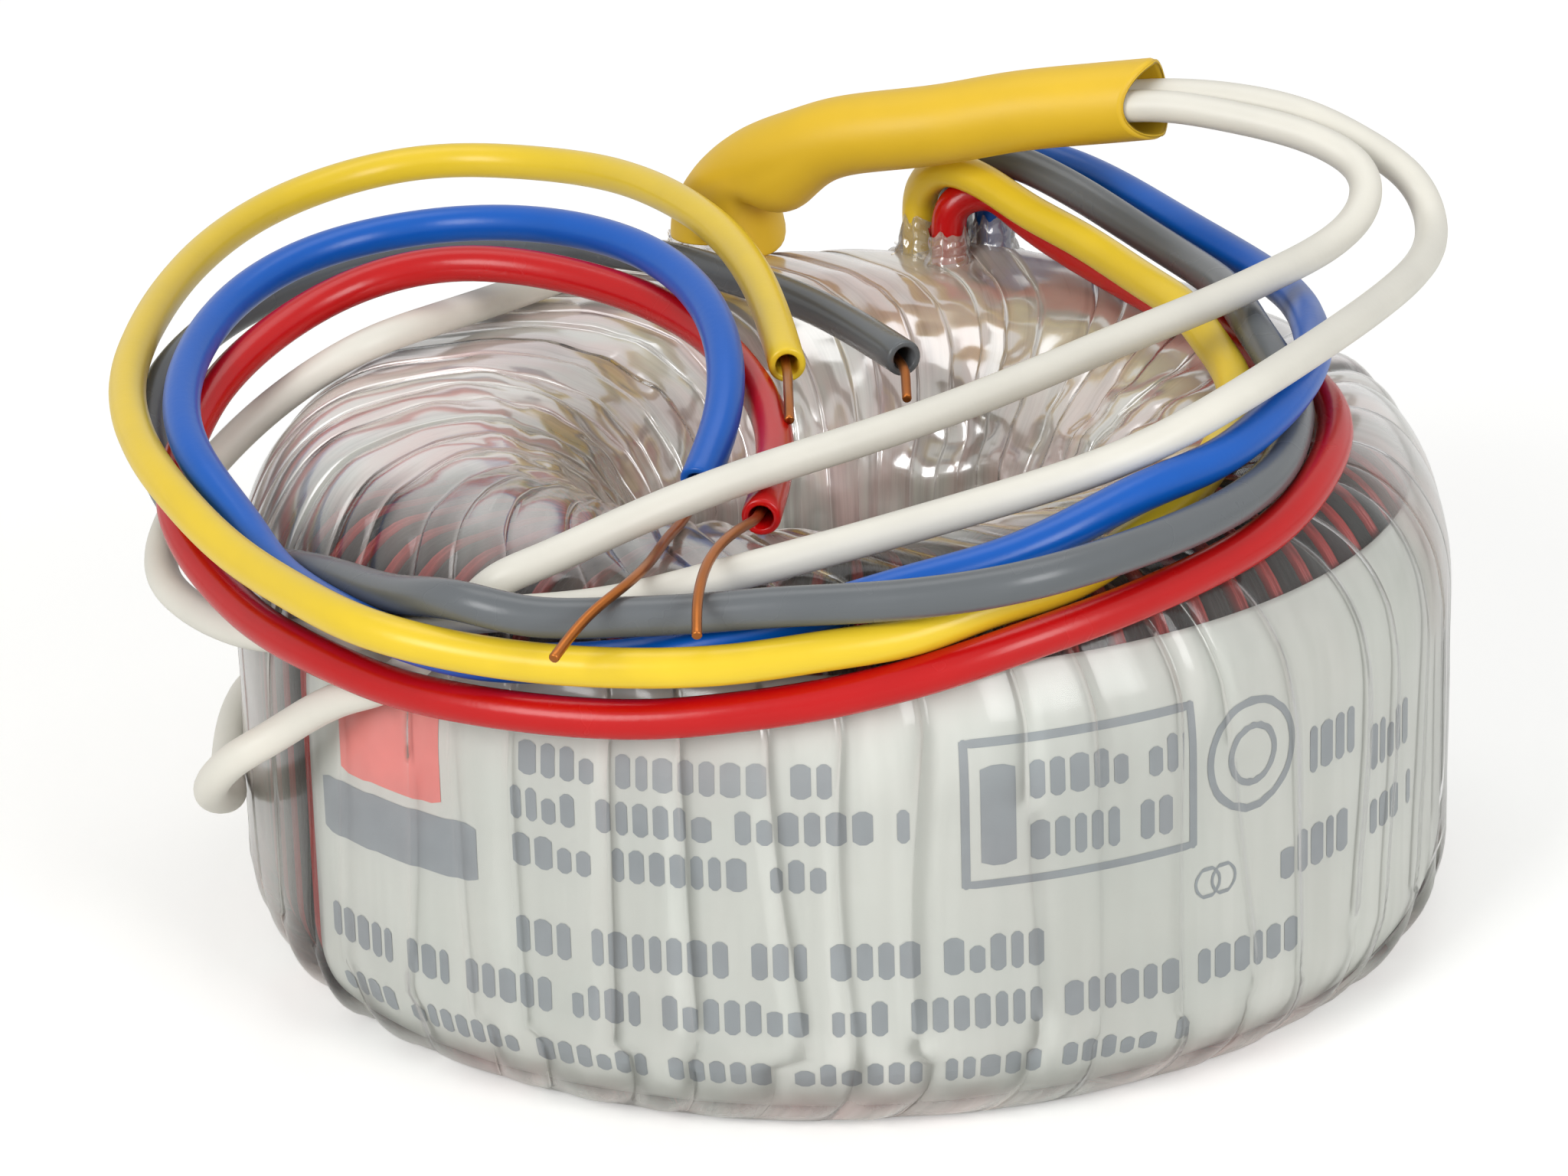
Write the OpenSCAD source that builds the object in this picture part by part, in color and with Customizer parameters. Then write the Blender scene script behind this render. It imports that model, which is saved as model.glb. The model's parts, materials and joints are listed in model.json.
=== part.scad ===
// Small toroidal mains transformer, 15 VA class: one primary with two white
// leads in a common sleeve, two secondaries wound side by side with four
// coloured leads. Millimetres. Z is the axis of the ring, the base is at z = 0
// and the front is toward -Y. The lead outlets stand at the back.

/* [Body] */
// Outside diameter over the film
body_d = 62; // [50:1:90]
// Height over the film
body_h = 27; // [20:1:45]
// Diameter of the open centre hole
hole_d = 21; // [15:1:30]
// Width and height of the rounded corner between top and outside
outer_corner = [6.5, 9.5]; // [2:0.5:12]
// Width and height of the rounded crown between top and hole
crown_corner = [11, 10]; // [4:0.5:14]
// Height of the rounded corner between hole and base
throat_corner_h = 9; // [3:0.5:13]
// Width and height of the rounded corner between outside and base
base_corner = [4, 5]; // [1:0.5:8]
// Total thickness of the clear outer film
film_t = 0.6; // [0.4:0.05:1.2]
// Total thickness of the film under the label
under_film_t = 0.4; // [0.2:0.05:0.8]

/* [Label] */
// Part of the circumference that the label covers, in degrees
label_span = 190; // [60:5:300]
// Where the label starts, in degrees left of the front
label_start = 60; // [0:5:180]
// Distance from the top of the body down to the label
label_below_top = 3.2; // [1:0.2:10]
// Distance from the base up to the label
label_above_base = 1.2; // [0.6:0.1:8]
// Thickness of the paper label
label_t = 0.15; // [0.1:0.01:0.3]

/* [Windings] */
// Turns of the two secondaries that lie side by side round the ring
secondary_turns = 72; // [24:1:96]
// Angle at which the first turn starts, in degrees
first_turn_at = 0.7; // [0:0.1:5]
// Gap between neighbouring turns at the outside of the ring
turn_gap = 0.2; // [0.05:0.05:0.5]
// Share of each pitch that belongs to the first secondary
first_share = 0.4; // [0.2:0.05:0.8]
// Thickness of the secondary layer
secondary_t = 0.8; // [0.4:0.1:1.2]
// Thickness of the tape between primary and secondary
tape_t = 0.3; // [0.2:0.05:0.6]
// Thickness of the primary layer
primary_t = 1.7; // [0.8:0.1:2.2]
// Smallest gap between the steel core and the primary
core_gap = 1.1; // [0.5:0.1:1.5]

/* [Leads] */
// Diameter of an enamelled secondary wire
wire_d = 0.5; // [0.3:0.05:0.7]
// Clearance all round the wire in its coloured sleeve
sleeve_clearance = 0.35; // [0.1:0.05:0.6]
// Wall of a coloured lead sleeve
sleeve_wall = 0.35; // [0.2:0.05:0.5]
// Outside diameter of a white primary lead
white_d = 1.7; // [1:0.1:2.2]
// Diameter of the conductor in a white lead
conductor_d = 0.8; // [0.4:0.1:1.2]
// Clearance beside the two white leads in their common sleeve
primary_clearance = 0.1; // [0.05:0.05:0.5]
// Wall of the sleeve that holds both white leads
primary_sleeve_wall = 0.25; // [0.2:0.05:0.5]

/* [Node] */
// Sub-part to show, or "all"

/* [Hidden] */
$fn = 96;
corner_steps = 4;   // flats in each rounded corner of the inner layers
film_steps = 10;    // flats in each rounded corner of the outer film

// The corners shrink only where the wall between hole and outside is too small.
body_r = body_d / 2;
hole_r = hole_d / 2;
wall_k = min(1, (body_r - hole_r - 1) / (outer_corner[0] + crown_corner[0]));
tall_k = min(1, (body_h - 4) / (crown_corner[1] + throat_corner_h));
top_out = [outer_corner[0] * wall_k, outer_corner[1] * tall_k];
top_in = [crown_corner[0] * wall_k, crown_corner[1] * tall_k];
base_in = [top_in[0], throat_corner_h * tall_k];
base_out = [base_corner[0] * wall_k, base_corner[1] * tall_k];
crown_r = hole_r + top_in[0];

// Depth of each layer below the outside.
label_in = film_t - label_t;
secondary_in = film_t + under_film_t;
tape_in = secondary_in + secondary_t;
primary_in = tape_in + tape_t;
core_in = primary_in + primary_t;
pitch = 360 / secondary_turns;
gap_angle = turn_gap / (body_r - secondary_in) * 180 / PI;

// The routes are set out on a 62 x 27 mm body. They widen with it and keep
// their height above its top.
ring_k = body_d / 62;
lift = body_h - 27;
lead_bore_r = wire_d / 2 + sleeve_clearance;
lead_r = lead_bore_r + sleeve_wall;
white_gap = 0.1; // half the gap between the two white leads in their sleeve
primary_bore_r = white_d + white_gap + primary_clearance;
primary_sleeve_r = primary_bore_r + primary_sleeve_wall;
white_side = [0, white_d / 2 + white_gap, 0];
collar_film = 0.3;        // film round the foot of a lead or sleeve
primary_collar_h = 5;     // from its foot inside the rounded corner to its top
secondary_collar_h = 3;

// Points along the middle of each lead, from its outlet to its free end.
sleeve_path = [
    [-6.5, 27, 27.5], [-6.5, 27, 28.5], [-5.5, 26, 30.5], [-3.5, 24, 32.5], [-1.5, 22.5, 33.5],
    [0.5, 21.5, 34.5], [3, 20.5, 35], [6.5, 19.5, 35.5], [10, 18.5, 36.5], [14, 17.5, 37],
    [17.5, 16.5, 37.5]];
white_a_path = concat([for (p = sleeve_path) p - white_side], [
    [21, 14.5, 37], [24.5, 13, 36.5], [27, 12, 35.5], [28, 10.5, 34.5], [27.5, 9, 33],
    [25.5, 7, 32], [22.5, 3, 32], [19, -1.5, 32], [13, -6.5, 31.5], [7.5, -11.5, 31],
    [2, -15.5, 30.5], [-3.5, -18.5, 30], [-8, -21.5, 29.5], [-11.5, -23, 28.5], [-14.5, -24, 27.5],
    [-16.5, -24.5, 27], [-18, -23.5, 25], [-20, -23.5, 23], [-22, -23, 21], [-24, -21, 20],
    [-26, -19.5, 18.5], [-28, -19, 17], [-30, -19, 16], [-31.5, -16.5, 13.5], [-31.5, -13, 11.5],
    [-31, -8, 9.5], [-32, -3, 8.5], [-32, 5.5, 10], [-29.5, 14, 8.5], [-24, 22, 7.5]]);
white_b_path = concat([for (p = sleeve_path) p + white_side], [
    [21, 16.5, 37.5], [25, 15, 37], [28, 14, 35.5], [30.5, 13, 34], [31.5, 12, 32],
    [31, 8, 31], [27.5, -2, 32], [22.5, -13, 33], [18, -19, 32.5], [13.5, -21.5, 31],
    [8.5, -23, 30], [3.5, -24, 29], [-1.5, -25, 28], [-6, -26.5, 27.5], [-10.5, -27, 26.5],
    [-14.5, -26.5, 26], [-18.5, -26.5, 26], [-21.5, -23, 24], [-24.5, -19.5, 22.5], [-28.5, -14.5, 20.5],
    [-31.5, -10.5, 20], [-34, -7, 20.5], [-34.5, -3.5, 21], [-34, 0, 22], [-32, 4, 23.5],
    [-29, 7, 25.5], [-24.5, 6.5, 28.5], [-21, 10, 28.5], [-17.5, 15, 28], [-14, 19, 28]]);
yellow_path = [
    [5, 25, 28.5], [5, 25, 30], [5.5, 23.5, 31.5], [6.5, 22, 32.5], [8.5, 20.5, 32],
    [10.5, 18, 31], [13, 15, 30.5], [15, 11.5, 30], [16.5, 7.5, 30], [18, 4, 30],
    [19, 1, 29], [20, -3, 28.5], [19.5, -9, 28.5], [17.5, -16, 28], [14.5, -22.5, 28],
    [10.5, -26.5, 26.5], [6.5, -28.5, 26.5], [3, -30, 25.5], [-1, -31, 25.5], [-5.5, -31.5, 25],
    [-10, -31.5, 25], [-14.5, -30.5, 25], [-19, -29.5, 25.5], [-23, -27.5, 26], [-26, -23, 26],
    [-29.5, -17.5, 26], [-32.5, -12, 27], [-35, -5.5, 27.5], [-36.5, 2.5, 28], [-36, 11, 28.5],
    [-34.5, 19.5, 29], [-31.5, 27, 29.5], [-27, 31.5, 30], [-22, 33, 30.5], [-17, 32, 30.5],
    [-12, 28, 31], [-8.5, 21.5, 31.5], [-5.5, 14.5, 31.5], [-3.5, 6, 31], [-2.5, -3.5, 30]];
blue_path = [
    [9, 24.5, 28.5], [9, 24.5, 30], [9.5, 26, 31.5], [11.5, 27, 31.5], [14, 25.5, 31],
    [16.5, 22, 30.5], [19, 17.5, 30], [22, 12.5, 29.5], [24, 6.5, 29.5], [24, -0.5, 30],
    [23.5, -7.5, 31], [22, -13, 31], [20, -16.5, 30.5], [17.5, -20, 30], [14, -23, 30],
    [10.5, -25.5, 29], [7, -27, 28], [3, -28, 27.5], [-1, -28.5, 26.5], [-5.5, -29.5, 25.5],
    [-9.5, -29, 24.5], [-14, -28, 24], [-17.5, -27.5, 24], [-21, -27, 25], [-24.5, -22.5, 25],
    [-27.5, -17.5, 25], [-29, -13.5, 26], [-31.5, -9.5, 27.5], [-33, -4.5, 28.5], [-33, 1.5, 29.5],
    [-31.5, 7.5, 30.5], [-28.5, 11.5, 31.5], [-24.5, 14, 32], [-19.5, 14.5, 32.5], [-14.5, 12, 33],
    [-10, 8, 33], [-7, 2.5, 32.5], [-5.5, -3.5, 31.5], [-5.5, -9, 29.5], [-7, -13.5, 27.5]];
red_path = [
    [6.5, 22.5, 28.5], [6.5, 22.5, 29.5], [7, 22.5, 30.5], [9, 22.5, 31], [10.5, 21.5, 29.5],
    [13, 18.5, 28.5], [16, 13.5, 28], [18.5, 8.5, 28], [20.5, 4.5, 28], [22.5, 0, 28],
    [24, -5, 28.5], [24.5, -10, 28], [23, -15.5, 27.5], [20.5, -20, 26.5], [16.5, -24, 26],
    [12.5, -27, 25.5], [8, -29.5, 25], [4, -30.5, 24], [-1, -31, 23], [-5.5, -31, 22.5],
    [-9.5, -30.5, 22], [-14, -29.5, 22], [-18.5, -27.5, 22], [-22, -25, 22], [-25, -22.5, 22.5],
    [-28, -18.5, 22.5], [-30.5, -14, 23], [-32.5, -10, 24], [-33.5, -5.5, 25], [-33, -1.5, 26],
    [-32, 2.5, 27.5], [-29.5, 6.5, 29], [-25.5, 10, 30.5], [-20.5, 11, 31.5], [-15.5, 9.5, 31.5],
    [-10, 6, 31], [-6, 1.5, 30], [-3.5, -6, 29], [-3, -13, 28.5], [-4, -20, 28]];
grey_path = [
    [7, 26.5, 28.5], [7, 26.5, 30], [7.5, 24.5, 32], [9.5, 23.5, 32.5], [11.5, 22, 32],
    [14, 20, 31], [16.5, 17, 30], [19, 12.5, 29.5], [20.5, 6.5, 30], [21, 0.5, 30],
    [22, -4, 29.5], [22.5, -8.5, 29], [22, -12.5, 29], [21, -17, 28.5], [18, -22.5, 28.5],
    [13.5, -27, 28.5], [9, -30.5, 28.5], [5, -31, 28], [0.5, -30.5, 27.5], [-3.5, -30.5, 27.5],
    [-7.5, -30, 27], [-11.5, -30, 27], [-15, -30, 27], [-18.5, -29, 28], [-21.5, -24, 26],
    [-25, -17.5, 25], [-29, -11, 23], [-31, -6.5, 22.5], [-33.5, -3, 23], [-35, 1, 24.5],
    [-35.5, 5, 26], [-34.5, 9, 27], [-32, 13.5, 28], [-28, 18, 28.5], [-22.5, 20.5, 29],
    [-16, 21.5, 29], [-9.5, 20.5, 28.5], [-5.5, 18, 28], [-0.5, 12, 28], [3.5, 3, 28]];

// Bare wire beyond the end of each coloured sleeve.
yellow_tail = [[-2.5, -6, 30], [-2.5, -8.5, 30], [-2.5, -10.5, 29.5]];
blue_tail = [[-7.5, -17, 27], [-8.5, -21, 27.5], [-9, -25, 28], [-10, -29.5, 28.5],
    [-12, -32, 28], [-13.5, -35, 27]];
red_tail = [[-4.5, -22, 28.5], [-5.5, -25, 29], [-6.5, -28, 29], [-7, -31.5, 28.5], [-7, -34, 27.5]];
grey_tail = [[3.5, 1.5, 27.5], [3.5, -0.5, 27]];

// ---- ring cross-section ----

// Quarter of an ellipse from angle a to a + 90, pulled in by depth.
function corner(c, radii, a, depth, steps) = [for (i = [0 : steps])
    c + [max(radii[0] - depth, 0.2) * cos(a + 90 * i / steps),
         max(radii[1] - depth, 0.2) * sin(a + 90 * i / steps)]];

// Outline of the ring's section, depth millimetres below the outside.
function section(depth, steps = corner_steps) = concat(
    corner([body_r - max(top_out[0], depth + 0.2), body_h - max(top_out[1], depth + 0.2)],
        [max(top_out[0], depth + 0.2), max(top_out[1], depth + 0.2)], 0, depth, steps),
    corner([crown_r, body_h - top_in[1]], top_in, 90, depth, steps),
    corner([crown_r, base_in[1]], base_in, 180, depth, steps),
    corner([body_r - max(base_out[0], depth + 0.2), max(base_out[1], depth + 0.2)],
        [max(base_out[0], depth + 0.2), max(base_out[1], depth + 0.2)], 270, depth, steps));

// Section of a layer that lies between two depths.
module layer(outer_depth, inner_depth, steps = corner_steps) {
    difference() {
        polygon(section(outer_depth, steps));
        polygon(section(inner_depth));
    }
}

module label_section() {
    intersection() {
        layer(label_in, film_t);
        translate([crown_r, label_above_base])
            square([body_r, body_h - label_below_top - label_above_base]);
    }
}

module core_section() {
    inner = crown_r - (top_in[0] - core_in) * 0.5;
    outer = body_r - core_in - core_gap * 2;
    base = core_in + core_gap;
    translate([inner, base]) square([outer - inner, body_h - core_in - core_gap * 1.5 - base]);
}

// ---- swept leads ----

function unit(v) = v / max(norm(v), 1e-9);
function fitted(path) = [for (p = path) [p[0] * ring_k, p[1] * ring_k, p[2] + lift]];

// Point i of a path; one step beyond either end carries straight on.
function knot(p, i) = i < 0 ? 2 * p[0] - p[1]
    : i >= len(p) ? 2 * p[len(p) - 1] - p[len(p) - 2] : p[i];

// Smooth curve that starts and ends on the path's own ends; u counts its points.
function on_curve(p, u) = let (i = min(floor(u), len(p) - 2), t = u - i)
    (pow(1 - t, 3) * knot(p, i - 1) + (3 * pow(t, 3) - 6 * t * t + 4) * knot(p, i)
    + (-3 * pow(t, 3) + 3 * t * t + 3 * t + 1) * knot(p, i + 1) + pow(t, 3) * knot(p, i + 2)) / 6;
function heading(p, u) = let (i = min(floor(u), len(p) - 2), t = u - i)
    unit(-pow(1 - t, 2) * knot(p, i - 1) + (3 * t * t - 4 * t) * knot(p, i)
    + (-3 * t * t + 2 * t + 1) * knot(p, i + 1) + t * t * knot(p, i + 2));

// Effort of each short step: its length plus how far the curve turns in it.
function effort(p, i, m) = norm(on_curve(p, (i + 1) / m) - on_curve(p, i / m)) / 4
    + acos(min(1, heading(p, i / m) * heading(p, (i + 1) / m))) / 22;

// Where the rings of a tube stand: evenly by effort, so bends get more of them.
function stations(p, rings, m = 4) =
    let (steps = [for (i = [0 : m * (len(p) - 1) - 1]) effort(p, i, m)],
        sums = [for (i = 0, s = 0; i <= len(steps); s = s + (i < len(steps) ? steps[i] : 0), i = i + 1)
            [s, i / m]],
        total = sums[len(steps)][0])
    [for (k = [0 : rings]) lookup(k * total / rings, sums)];

// Side direction at each ring, carried along the curve without twist.
function sides(dirs) = [for (i = 0, n = unit(cross([0, 1, 0], dirs[0])); i < len(dirs);
    i = i + 1, n = i < len(dirs) ? unit(n - (n * dirs[i]) * dirs[i]) : n) n];

function tube_ring(c, dir, side, r, around) = let (other = cross(dir, side))
    [for (j = [0 : around - 1]) c + r * (cos(360 * j / around) * side + sin(360 * j / around) * other)];

function skin(rings, around, first, out) = [for (i = [0 : rings - 1], j = [0 : around - 1])
    let (a = first + i * around + j, b = first + i * around + (j + 1) % around, c = a + around,
        d = b + around)
    each out ? [[a, c, d], [a, d, b]] : [[a, d, c], [a, b, d]]];

// Tube of outside radius r along a path; bore_r is its inside radius, 0 for a solid wire.
module swept(path, rings, r, bore_r = 0, around = 8) {
    us = stations(path, rings);
    dirs = [for (u = us) heading(path, u)];
    turned = sides(dirs);
    outer = [for (k = [0 : rings]) each tube_ring(on_curve(path, us[k]), dirs[k], turned[k], r, around)];
    inner = bore_r > 0 ? [for (k = [0 : rings])
        each tube_ring(on_curve(path, us[k]), dirs[k], turned[k], bore_r, around)] : [];
    n = (rings + 1) * around;
    last = rings * around;
    ends = bore_r > 0 ? [for (j = [0 : around - 1]) let (b = (j + 1) % around)
            each [[j, b, n + b], [j, n + b, n + j],
                [last + b, last + j, n + last + j], [last + b, n + last + j, n + last + b]]]
        : [[for (j = [0 : around - 1]) j], [for (j = [0 : around - 1]) last + around - 1 - j]];
    polyhedron(points = concat(outer, inner), convexity = 10,
        faces = concat(skin(rings, around, 0, true),
            bore_r > 0 ? skin(rings, around, n, false) : [], ends));
}

module lead_sleeve(path) { swept(fitted(path), 54, lead_r, lead_bore_r); }
module lead_wire(path, tail) { swept(fitted(concat(path, tail)), 42, wire_d / 2); }
module white_lead(path) { swept(fitted(path), 46, white_d / 2, conductor_d / 2); }
module white_conductor(path) { swept(fitted(path), 46, conductor_d / 2); }

// ---- sub-parts ----

module steel_core() {
    color("#5c6063") rotate_extrude() core_section();
}

module core_insulation() {
    color("#d9cfae") rotate_extrude() difference() {
        polygon(section(core_in));
        core_section();
    }
}

module primary_winding() {
    color("#a85a2c") rotate_extrude() layer(primary_in, core_in);
}

module winding_tape() {
    color("#e3d9a2") rotate_extrude() layer(tape_in, primary_in);
}

// One turn of a secondary: a closed loop through the hole and over the outside.
module turn(from, share) {
    rotate([0, 0, from]) rotate_extrude(angle = pitch * share - gap_angle)
        layer(secondary_in, tape_in);
}

module secondary_winding_a() {
    color("#a4443a") for (i = [0 : secondary_turns - 1]) turn(first_turn_at + i * pitch, first_share);
}

module secondary_winding_b() {
    color("#4a5450") for (i = [0 : secondary_turns - 1])
        turn(first_turn_at + (i + first_share) * pitch, 1 - first_share);
}

module under_film() {
    color("#d8d8d2", 0.6) rotate_extrude() layer(film_t, secondary_in);
}

module rating_label() {
    color("#c9cbc4") rotate([0, 0, -90 - label_start])
        rotate_extrude(angle = label_span) label_section();
}

module outer_film() {
    color("#e8e8e4", 0.4) difference() {
        rotate_extrude() layer(0, film_t, film_steps);
        rotate([0, 0, -90 - label_start]) rotate_extrude(angle = label_span) label_section();
    }
}

module body_solid() { rotate_extrude() polygon(section(0, film_steps)); }

// Film drawn up round a root: a short post on the body that a sleeve or lead stands on.
module primary_collar() {
    root = fitted(sleeve_path)[0];
    color("#e8e8e4", 0.6) difference() {
        translate([root[0], root[1], root[2] - primary_collar_h])
            cylinder(h = primary_collar_h, r = primary_sleeve_r + collar_film);
        body_solid();
    }
}

module secondary_collar() {
    color("#e8e8e4", 0.6) difference() {
        hull() for (path = [yellow_path, blue_path, red_path, grey_path]) {
            root = fitted(path)[0];
            translate([root[0], root[1], root[2] - secondary_collar_h])
                cylinder(h = secondary_collar_h, r1 = lead_r * 2, r2 = lead_r + collar_film, $fn = 24);
        }
        body_solid();
    }
}

module primary_sleeve() {
    color("#e6be35") swept(fitted(sleeve_path), 18, primary_sleeve_r, primary_bore_r, 12);
}

module white_lead_a() { color("#e6e3da") white_lead(white_a_path); }
module white_lead_b() { color("#e6e3da") white_lead(white_b_path); }
module white_conductor_a() { color("#b4693a") white_conductor(white_a_path); }
module white_conductor_b() { color("#b4693a") white_conductor(white_b_path); }
module yellow_sleeve() { color("#eed34a") lead_sleeve(yellow_path); }
module blue_sleeve() { color("#2a6fd0") lead_sleeve(blue_path); }
module red_sleeve() { color("#d81e20") lead_sleeve(red_path); }
module grey_sleeve() { color("#6e7273") lead_sleeve(grey_path); }
module yellow_wire() { color("#9c5a2e") lead_wire(yellow_path, yellow_tail); }
module blue_wire() { color("#9c5a2e") lead_wire(blue_path, blue_tail); }
module red_wire() { color("#9c5a2e") lead_wire(red_path, red_tail); }
module grey_wire() { color("#9c5a2e") lead_wire(grey_path, grey_tail); }

steel_core();
core_insulation();
primary_winding();
winding_tape();
secondary_winding_a();
secondary_winding_b();
under_film();
rating_label();
outer_film();
primary_collar();
secondary_collar();
primary_sleeve();
white_lead_a();
white_conductor_a();
white_lead_b();
white_conductor_b();
yellow_sleeve();
yellow_wire();
blue_sleeve();
blue_wire();
red_sleeve();
red_wire();
grey_sleeve();
grey_wire();
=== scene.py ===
# Toroidal mains transformer with flying leads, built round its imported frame.
# Lengths are in metres, and the settings beside each piece are in millimetres and degrees.
import json
import math
import random
import bpy
from mathutils import Matrix, Vector, noise


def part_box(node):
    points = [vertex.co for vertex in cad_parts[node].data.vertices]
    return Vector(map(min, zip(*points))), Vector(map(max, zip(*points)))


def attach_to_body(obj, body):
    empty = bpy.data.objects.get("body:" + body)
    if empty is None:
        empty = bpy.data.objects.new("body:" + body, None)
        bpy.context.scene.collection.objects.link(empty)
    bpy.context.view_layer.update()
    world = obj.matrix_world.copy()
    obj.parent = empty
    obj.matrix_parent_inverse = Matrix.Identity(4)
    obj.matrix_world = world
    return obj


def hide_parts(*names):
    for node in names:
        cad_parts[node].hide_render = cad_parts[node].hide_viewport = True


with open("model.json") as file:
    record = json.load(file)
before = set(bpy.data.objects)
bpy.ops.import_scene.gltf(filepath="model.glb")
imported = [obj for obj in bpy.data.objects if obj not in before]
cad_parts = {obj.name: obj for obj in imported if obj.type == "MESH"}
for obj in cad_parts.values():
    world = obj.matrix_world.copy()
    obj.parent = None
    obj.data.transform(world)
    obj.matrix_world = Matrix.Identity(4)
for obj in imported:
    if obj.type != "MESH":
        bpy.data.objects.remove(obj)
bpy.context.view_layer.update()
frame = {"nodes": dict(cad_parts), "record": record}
mm = 0.001
tau = 2 * math.pi
print("frame loaded:", len(frame["nodes"]), "nodes")


def smooth(value, low, high):
    # 0 below low, 1 above high, an even S between.
    t = min(1, max(0, (value - low) / (high - low)))
    return t * t * (3 - 2 * t)


def bell(value, centre, width):
    # 1 at the centre, with an even fall on both sides.
    return math.exp(-((value - centre) / width) ** 2)


def fromHex(text):
    parts = [int(text[i:i + 2], 16) / 255 for i in (1, 3, 5)]
    return [p / 12.92 if p <= 0.04045 else ((p + 0.055) / 1.055) ** 2.4 for p in parts] + [1.0]


def shade(colour, share):
    # The same colour, darker with a share below 1 and lighter above it.
    return [min(1, c * share) for c in colour[:3]] + [1]


def cellScale(size):
    # Noise scale for cells this many millimetres across.
    return 1 / (size * mm)


def addNode(tree, kind, settings, links):
    node = tree.nodes.new("ShaderNode" + kind)
    for key, value in settings.items():
        if isinstance(key, int) or key in node.inputs:
            node.inputs[key].default_value = value
        else:
            setattr(node, key, value)
    for key, source in links.items():
        # A node stands for its first output.
        socket = source.outputs[0] if isinstance(source, bpy.types.Node) else source
        tree.links.new(socket, node.inputs[key])
    return node


def emptyMaterial(name):
    material = bpy.data.materials.new(name)
    material.use_nodes = True
    material.node_tree.nodes.clear()
    return material, material.node_tree


def onObject(tree):
    # Link that ties a pattern to the object, so that it keeps its real size.
    return {"Vector": addNode(tree, "TexCoord", {}, {}).outputs["Object"]}


def addPiece(name, points, faces, material, rounded=True):
    mesh = bpy.data.meshes.new(name)
    mesh.from_pydata([tuple(p) for p in points], [], faces)
    mesh.update()
    mesh.polygons.foreach_set("use_smooth", [rounded] * len(mesh.polygons))
    mesh.materials.append(material)
    piece = bpy.data.objects.new(name, mesh)
    bpy.context.collection.objects.link(piece)
    return piece


def gridFaces(rows, across, closed, base=0):
    # Faces between rows of points that run round; a closed grid joins its last row to its first.
    faces = []
    for k in range(rows if closed else rows - 1):
        low = base + k * across
        high = base + (k + 1) % rows * across
        faces += [(low + c, low + (c + 1) % across, high + (c + 1) % across, high + c)
                  for c in range(across)]
    return faces


def attach(piece, slotName, *nodes):
    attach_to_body(piece, "root")
    if nodes:
        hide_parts(*nodes)


cameraSet = {
    "aim": (-3.0, 0.0, 16.8),
    "elevation": 20.8,
    "roll": -1.7,
    "distance": 300.0,
    "lens": 134.3,
    "sensor": 36.0,
    "nearest": 10.0,
}


def makeCamera(s):
    tilt = math.radians(s["elevation"])
    ahead = Vector((0, math.cos(tilt), -math.sin(tilt)))
    right = Vector((1, 0, 0))
    up = right.cross(ahead)
    turn = Matrix.Rotation(math.radians(-s["roll"]), 3, ahead)
    axes = Matrix((turn @ right, turn @ up, -ahead)).transposed()
    data = bpy.data.cameras.new("camera")
    data.lens = s["lens"]
    data.sensor_width = s["sensor"]
    data.clip_start = s["nearest"] * mm
    camera = bpy.data.objects.new("camera", data)
    place = (Vector(s["aim"]) - ahead * s["distance"]) * mm
    camera.matrix_world = Matrix.Translation(place) @ axes.to_4x4()
    bpy.context.collection.objects.link(camera)
    bpy.context.scene.camera = camera


makeCamera(cameraSet)
print("camera made")

# The middle lines of the leads, in metres: points listed one by one, the same as in the CAD. A tail is the
# bare wire beyond the end of its sleeve.
sleeveRoute = [
    (-0.0065, 0.027, 0.0275), (-0.0065, 0.027, 0.0285), (-0.0055, 0.026, 0.0305),
    (-0.0035, 0.024, 0.0325), (-0.0015, 0.0225, 0.0335), (0.0005, 0.0215, 0.0345),
    (0.003, 0.0205, 0.035), (0.0065, 0.0195, 0.0355), (0.01, 0.0185, 0.0365), (0.014, 0.0175, 0.037),
    (0.0175, 0.0165, 0.0375),
]
whiteRouteA = [
    (0.021, 0.0145, 0.037), (0.0245, 0.013, 0.0365), (0.027, 0.012, 0.0355), (0.028, 0.0105, 0.0345),
    (0.0275, 0.009, 0.033), (0.0255, 0.007, 0.032), (0.0225, 0.003, 0.032), (0.019, -0.0015, 0.032),
    (0.013, -0.0065, 0.0315), (0.0075, -0.0115, 0.031), (0.002, -0.0155, 0.0305),
    (-0.0035, -0.0185, 0.03), (-0.008, -0.0215, 0.0295), (-0.0115, -0.023, 0.0285),
    (-0.0145, -0.024, 0.0275), (-0.0165, -0.0245, 0.027), (-0.018, -0.0235, 0.025),
    (-0.02, -0.0235, 0.023), (-0.022, -0.023, 0.021), (-0.024, -0.021, 0.02),
    (-0.026, -0.0195, 0.0185), (-0.028, -0.019, 0.017), (-0.03, -0.019, 0.016),
    (-0.0315, -0.0165, 0.0135), (-0.0315, -0.013, 0.0115), (-0.031, -0.008, 0.0095),
    (-0.032, -0.003, 0.0085), (-0.032, 0.0055, 0.01), (-0.0295, 0.014, 0.0085),
    (-0.024, 0.022, 0.0075),
]
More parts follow.
